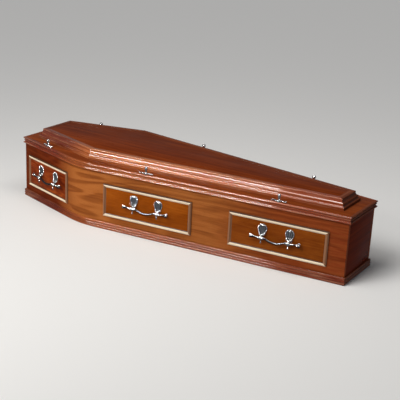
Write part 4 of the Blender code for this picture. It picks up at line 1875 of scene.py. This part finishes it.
    def blob(self, way: int, spot: Triple, radii: Triple) -> Shape:
        """Make an ellipsoid on the sleeve.

        Args:
            way: 1 or -1 for the side that it lies on.
            spot: Its place across, in front of the panel's face and above the sleeve.
            radii: Its radii in X, Y and Z.

        Returns:
            The ellipsoid, closed.
        """
        across, out, up = spot
        centre = (way * across, self.pivot_reach - out, self.sleeve_radius + up)
        shape = bmesh.new()
        bmesh.ops.create_uvsphere(shape, u_segments=28, v_segments=16, radius=1)
        place = Matrix.Translation(centre) @ Matrix.Diagonal((*radii, 1))
        bmesh.ops.transform(shape, matrix=place, verts=shape.verts)
        return shape

    def sleeve(self) -> Shape:
        """Make the barrel sleeve, bored for the spindle.

        Returns:
            The sleeve, closed round its bore.
        """
        half = self.sleeve_length / 2
        bore = self.spindle + self.clearance
        waist, flare = self.sleeve_end * self.waist, self.sleeve_end + self.flare
        ends = list(zip((*self.barrel_ends, 1.0), (self.sleeve_radius, waist, flare, self.sleeve_end)))
        keys = [(-half * share, radius) for share, radius in reversed(ends)]
        keys += [(half * share, radius) for share, radius in ends]
        shape = bmesh.new()
        rings = []
        around = [math.tau * step / self.sides for step in range(self.sides)]
        for x, radius in [*smooth_stations(keys, 0.001), (half, bore), (-half, bore)]:
            spots = [(x, radius * math.cos(angle), radius * math.sin(angle)) for angle in around]
            rings.append([shape.verts.new(spot) for spot in spots])
        skin(shape, rings, endless=True)
        return shape

    def neck(self) -> Shape:
        """Make the bracket from the shell's foot to the sleeve.

        Returns:
            The bracket, closed.
        """
        bore = self.spindle + self.clearance
        inner = bore + (self.sleeve_radius - bore) * 0.5
        outer = self.pivot_reach - self.gap
        size = (self.neck_width, outer - inner, self.neck_height)
        return block(size, (0, (outer + inner) / 2, self.neck_up), self.neck_rounding, 3)

    def drop(self) -> Shape:
        """Make the ball drop under the sleeve.

        Returns:
            The drop, closed.
        """
        top = -(self.sleeve_radius + self.spindle + self.clearance) / 2
        low, ball = -self.drop_length, self.drop_radius
        keys = [(low, self.drop_tip)]
        keys += [(low + ball * up, ball * width) for up, width in self.drop_profile]
        keys += [(top - down, ball * width) for down, width in self.drop_neck]
        return turned(keys, self.sides)

    def tarnish(self, spot: Vector) -> float:
        """Give the painted shade at a point of the plate.

        Args:
            spot: The point, measured from the pivot.

        Returns:
            The painted shade: more in the grooves of the shell's oval, and full in the slot over the sleeve
                as a painted shadow.
        """
        z = spot.z - self.plate_centre_up
        share = math.hypot(spot.x, z) / self.rim(math.atan2(z, spot.x))
        on_shell = spot.y > self.pivot_reach - self.gap - self.dome_depth - self.stain_behind
        # Painted shade on the oval and its fan of grooves, and a painted shadow in the slot.
        if on_shell and share < self.oval + self.stain_past and spot.z > self.slot_height + self.slot_half:
            return self.ground + (1 - self.ground) * self.groove(spot.x, z)
        in_slot = abs(spot.z - self.slot_height) < self.slot_half and abs(spot.x) < self.slot_reach
        return 1.0 if in_slot and spot.y > 0 else 0.0

    def bar_tarnish(self, spot: Vector) -> float:
        """Give the painted shade at a point of the bar.

        Args:
            spot: The point, measured from the pivot.

        Returns:
            The painted shade: full in the cups of its ends and at the foot of each crown, less on the bow,
                where it paints a dark reflection.
        """
        reach = abs(spot.x)
        left = self.bar_length / 2 - reach
        around = math.hypot(spot.y, spot.z - self.finial_rise)
        shallow, deep = self.cup_limits
        in_cup = shallow < left < deep and around < self.finial_radius * self.cup_radius
        place, spread = self.foot_stain
        at_foot = abs(left - self.finial_length * place) < self.finial_length * spread
        # Painted shade in the cups and at the crowns' feet, and a dark reflection painted on the bow.
        if in_cup or at_foot:
            return 1.0
        return self.bow_stain if reach < (self.plate_spacing - self.sleeve_length) / 2 else 0.0

    def plate_mesh(self) -> Mesh:
        """Unite the shell, its lip, the bracket, the sleeve and the drop.

        Returns:
            The plate, with its painted shade.
        """
        lip = self.blob(1, self.lip, self.lip_radii)
        curls = [self.blob(way, self.curl, self.curl_radii) for way in (-1, 1)]
        shapes = [self.shell(), self.neck(), lip, *curls, self.drop(), self.sleeve()]
        plate = joined_mesh("shell_plate", shapes)
        mark_painted_shade(plate, self.tarnish, self.under)
        return plate

    def bar_mesh(self) -> Mesh:
        """Make the bow with its spindles, collars and crowned ends.

        Returns:
            The bar, with its painted shade.
        """
        half = self.plate_spacing / 2
        inner = half - self.sleeve_length / 2 - self.collar_play
        outer = half + self.sleeve_length / 2 + self.collar_play
        end = self.bar_length / 2
        crown = end - self.finial_length
        bow_reach = inner - self.bow_inset
        place, width = self.bow_thinning
        keys = [(0.0, self.bow_radius), (bow_reach * place, self.bow_radius * width)]
        radii = (self.bow_end, self.bow_end, self.collar, self.collar, self.spindle)
        keys += [(inner - away, radius) for away, radius in zip(self.inner_collar, radii)]
        keys.append((outer, self.spindle))
        keys += [(outer + away, radius) for away, radius in zip(self.outer_collar, radii[2:])]
        keys += [(crown - self.foot_length * away, self.spindle * width) for away, width in self.foot]
        keys += [(crown + self.finial_length * up, self.finial_radius * width) for up, width in self.crown]
        profile = smooth_stations(keys, self.bar_step)
        profile += [(end - depth, self.finial_radius * width) for depth, width in self.cup]
        lobe_start, lobe_run = self.lobe_stretch
        stations, depths = [], []
        for x, radius in [(-x, radius) for x, radius in reversed(profile[1:])] + profile:
            reach = abs(x)
            bow = min(reach / bow_reach, 1.0)
            rise = max(0.0, (reach - outer) / (end - outer))
            z = -self.bow_sag * (1 - bow**2) + self.finial_rise * rise
            stations.append((Vector((x, 0, z)), radius))
            into = ((reach - crown) / self.finial_length - lobe_start) / lobe_run
            depths.append(self.lobe_depth * min(max(into, 0.0), 1.0))
        shape = lathe(stations, self.bar_sides, self.finial_lobes, depths)
        bar = close_mesh(shape, "bow_bar", UNION_SMOOTH_ANGLE)
        mark_painted_shade(bar, self.bar_tarnish, self.bar_under, self.bar_level)
        return bar

    def build(self, meshes: dict[str, Mesh], plating: Material) -> None:
        """Place both plates and the bar.

        Args:
            meshes: The shared plate and bar.
            plating: Their finish.
        """
        reach = self.gap + self.panel.thickness + self.pivot_reach
        pivot = self.panel.place(reach, self.pivot_height)
        towards_foot = 1 if pivot.to_3x3().col[0].x > 0 else -1
        pivot = pivot @ Matrix.Translation((towards_foot * self.shifts[self.panel.number - 1], 0, 0))
        for end, way in (("head", -towards_foot), ("foot", towards_foot)):
            spot = pivot @ Matrix.Translation((way * self.plate_spacing / 2, 0, 0))
            name = f"handle_plate_{self.panel.label}_{end}"
            add_piece(name + "_cast", meshes["plate"], plating, [name], place=spot)
        name = "handle_bar_" + self.panel.label
        body = "handle_" + self.panel.label
        add_piece(name + "_cast", meshes["bar"], plating, [name], body, pivot)


@dataclass
class LidScrews:
    """The ornamental thumbscrews on the lid's flange, three a side."""

    lid: Lid
    from_head: float = 0.223
    from_shoulder: float = 0.381
    from_foot: float = 0.3565
    inset: float = 0.015
    plate_length: float = 0.080
    plate_thickness: float = 0.005
    boss: float = 0.0105
    height: float = 0.040
    bulb: float = 0.0095
    arm: float = 0.0042
    tip: float = 0.0058
    wave: float = 0.0036
    arm_steps: int = 40
    arm_sides: int = 16
    arm_root: float = 0.5
    arm_up: float = 0.9
    arm_rise: float = 0.0016
    arm_swell: float = 0.55
    arm_taper: float = 0.25
    arm_squash: float = 0.8
    wave_start: float = 4.0
    ball_size: float = 0.86
    ball_side: float = 0.35
    ball_up: float = 0.80
    # Painted shade on faces that look down.
    under: float = 0.40
    boss_profile: Profile = ((0.0, 1.0), (0.7, 1.0), (1.1, 0.84), (1.7, 0.78))
    stem_foot: Range = (2.2, 0.52)
    stem_profile: Profile = ((0.36, 0.48), (0.40, 0.72), (0.45, 0.55))
    bulb_profile: Profile = ((1.8, 0.80), (1.1, 1.0), (0.5, 0.84), (0.12, 0.42))
    bulb_tip: float = 0.0007
    post_sides: int = 28

    def post(self) -> Shape:
        """Make the turned boss, neck and bulb.

        Returns:
            The post, closed.
        """
        top, bulb, plate = self.height, self.bulb, self.plate_thickness
        keys = [(plate * up, self.boss * width) for up, width in self.boss_profile]
        keys.append((plate * self.stem_foot[0], bulb * self.stem_foot[1]))
        keys += [(top * up, bulb * width) for up, width in self.stem_profile]
        keys += [(top - bulb * down, bulb * width) for down, width in self.bulb_profile]
        keys.append((top, self.bulb_tip))
        return turned(keys, self.post_sides)

    def arm_shape(self, way: int) -> Shape:
        """Make one wavy arm that ends in a curl.

        Args:
            way: 1 for the arm towards +X and -1 for the other.

        Returns:
            The arm, closed.
        """
        start, end = self.boss * self.arm_root, self.plate_length / 2 - self.tip
        stations = []
        for step in range(self.arm_steps + 1):
            share = step / self.arm_steps
            x = way * (start + (end - start) * share)
            y = way * self.wave * math.sin(math.tau * share) * min(1.0, share * self.wave_start)
            arch = math.sin(math.pi * share)
            width = self.arm * (1 + self.arm_swell * arch**2) * (1 - self.arm_taper * share)
            stations.append((Vector((x, y, self.arm * self.arm_up + self.arm_rise * arch)), width))
        return lathe(stations, self.arm_sides, squash=self.arm_squash)

    def mesh(self) -> Mesh:
        """Unite the turned post, the arms and their tips.

        Returns:
            The screw, with painted shade on its undersides.
        """
        shapes = [self.post()]
        for way in (-1, 1):
            shapes.append(self.arm_shape(way))
            ball = bmesh.new()
            bmesh.ops.create_uvsphere(ball, u_segments=20, v_segments=12, radius=self.tip * self.ball_size)
            reach = self.plate_length / 2 - self.tip
            centre = (way * reach, way * self.tip * self.ball_side, self.tip * self.ball_up)
            bmesh.ops.translate(ball, verts=ball.verts, vec=centre)
            shapes.append(ball)
        screw = joined_mesh("thumbscrew", shapes)
        # Painted shade only on faces that look down.
        mark_painted_shade(screw, lambda spot: 0.0, self.under)
        return screw

    def build(self, plating: Material) -> None:
        """Place the six screws.

        Args:
            plating: Their finish.
        """
        plan = self.lid.plan
        mesh = self.mesh()
        head, foot = -plan.length / 2, plan.length / 2
        shoulder = head + plan.shoulder_from_head
        stations = (head + self.from_head, shoulder + self.from_shoulder, foot - self.from_foot)
        for number, x in enumerate(stations, 1):
            along = plan.direction(Edge.NEAR_SHORT if x < shoulder else Edge.NEAR_LONG)
            turn = math.atan2(along.y, along.x)
            y = plan.across_at(self.inset, x)
            for side in Side:
                spot = Matrix.Translation((x, -side.value * y, self.lid.top + self.lid.gap))
                spot = spot @ Matrix.Rotation(side.value * turn, 4, "Z")
                name = f"lid_screw_{side.label}_{number}"
                add_piece(name + "_cast", mesh, plating, [name], place=spot)


@dataclass(frozen=True)
class Viewpoint:
    """The camera: where it stands, which way it looks and its lens."""

    position: Triple = (2.5106, -3.87564, 1.82662)
    yaw: float = -0.56078
    pitch: float = 0.34756
    roll: float = 0.05017
    focal_pixels: float = 942.6
    picture_pixels: float = 400.0

    def build(self) -> None:
        """Make the camera and set it as the scene's."""
        level = math.cos(self.pitch)
        ahead = Vector((math.sin(self.yaw) * level, math.cos(self.yaw) * level, -math.sin(self.pitch)))
        right = ahead.cross(Vector((0, 0, 1))).normalized()
        up = right.cross(ahead)
        tilted = right * math.cos(self.roll) + up * math.sin(self.roll)
        risen = up * math.cos(self.roll) - right * math.sin(self.roll)
        data = bpy.data.cameras.new("camera")
        data.sensor_width = SENSOR_WIDTH
        data.lens = self.focal_pixels / self.picture_pixels * data.sensor_width
        camera = place_object("camera", data)
        turn = Matrix((tilted, risen, -ahead)).transposed().to_4x4()
        camera.matrix_world = Matrix.Translation(self.position) @ turn
        bpy.context.scene.camera = camera


def add_lamp(name: str, kind: str, power: float, colour: Colour, way: Vector) -> bpy.types.Object:
    """Put a lamp in the scene.

    Args:
        name: Name of the lamp.
        kind: AREA for a soft box or SUN for light that falls the same everywhere.
        power: Power of a soft box, or strength of a sun.
        colour: Colour of the light.
        way: Way that it shines.

    Returns:
        The lamp.
    """
    data = bpy.data.lights.new(name, kind)
    data.energy = power
    data.color = colour
    lamp = place_object(name, data)
    lamp.rotation_euler = way.to_track_quat("-Z", "Y").to_euler()
    return lamp


@dataclass(frozen=True)
class SoftLight:
    """One soft box: a bright rectangle that faces a point, and lights all of it or only its shine."""

    name: str
    position: Triple
    target: Triple
    size: tuple[float, float]
    power: float
    shine_only: bool = False
    colour: Colour = (1.0, 0.97, 0.93)

    def build(self) -> None:
        """Make the light."""
        way = Vector(self.target) - Vector(self.position)
        lamp = add_lamp(self.name, "AREA", self.power, self.colour, way)
        lamp.data.shape = "RECTANGLE"
        lamp.data.size, lamp.data.size_y = self.size
        lamp.location = self.position
        lamp.visible_diffuse = not self.shine_only


@dataclass(frozen=True)
class EvenLight:
    """Broad light that falls the same everywhere, as from a cloudy sky: it puts no shine on lacquer."""

    towards: Triple
    strength: float
    spread: float
    colour: Colour = (1.0, 0.98, 0.96)

    def build(self) -> None:
        """Make the light."""
        lamp = add_lamp("even", "SUN", self.strength, self.colour, Vector(self.towards))
        lamp.data.angle = math.radians(self.spread)
        lamp.visible_glossy = False


@dataclass
class Studio:
    """Pale floor that the lacquer doesn't mirror, soft boxes and even light from all round."""

    floor_size: float = 60.0
    floor_colour: Colour = (0.80, 0.80, 0.79)
    sky_colour: Colour = (0.92, 0.95, 1.0)
    sky_strength: float = 0.13
    lights: tuple[SoftLight | EvenLight, ...] = (
        SoftLight("key", (-1.20, -2.5, 1.75), (-0.35, -0.25, 0.2), (2.3, 0.40), 30.0),
        SoftLight("shine", (-1.24, -2.6, 1.82), (-0.35, -0.25, 0.2), (2.3, 0.18), 84.0, True),
        SoftLight("top", (0.30, -0.45, 2.70), (0.10, -0.10, 0.3), (1.8, 0.45), 22.0),
        EvenLight((0.30, 0.62, -0.73), 1.8, 30.0),
    )

    def build(self) -> None:
        """Make the floor, the lights and the sky."""
        shape = bmesh.new()
        bmesh.ops.create_grid(shape, x_segments=1, y_segments=1, size=self.floor_size / 2)
        mesh = smooth_mesh(shape, "floor")
        graph = Graph("floor")
        mesh.materials.append(graph.finish({"Base Color": self.floor_colour, "Roughness": 0.9}))
        floor = place_object("floor", mesh)
        floor.visible_glossy = False
        for light in self.lights:
            light.build()
        bpy.context.scene.view_settings.view_transform = "Standard"
        world = bpy.data.worlds.new("sky")
        world.use_nodes = True
        background = world.node_tree.nodes["Background"]
        background.inputs["Color"].default_value = (*self.sky_colour, 1.0)
        background.inputs["Strength"].default_value = self.sky_strength
        bpy.context.scene.world = world


def main() -> None:
    """Build the coffin's looks, its camera and its studio."""
    logging.basicConfig(level=logging.INFO, format="%(name)s: %(message)s")
    Viewpoint().build()
    Carcase().build()
    Plinth().build()
    lid = Lid()
    lid.build()
    veneers = [finish.material() for finish in (RED_VENEER, AMBER_VENEER, BROWN_VENEER)]
    pale, plating = FRAME_WOOD.material(), PLATING.material()
    panels = [SidePanel(side, number) for side in Side for number in (1, 2, 3)]
    pattern = Handle(panels[0])
    meshes = {"plate": pattern.plate_mesh(), "bar": pattern.bar_mesh()}
    for panel in panels:
        panel.build(veneers[panel.number - 1], pale)
        Handle(panel).build(meshes, plating)
    LidScrews(lid).build(plating)
    Studio().build()


if __name__ == "__main__":
    main()
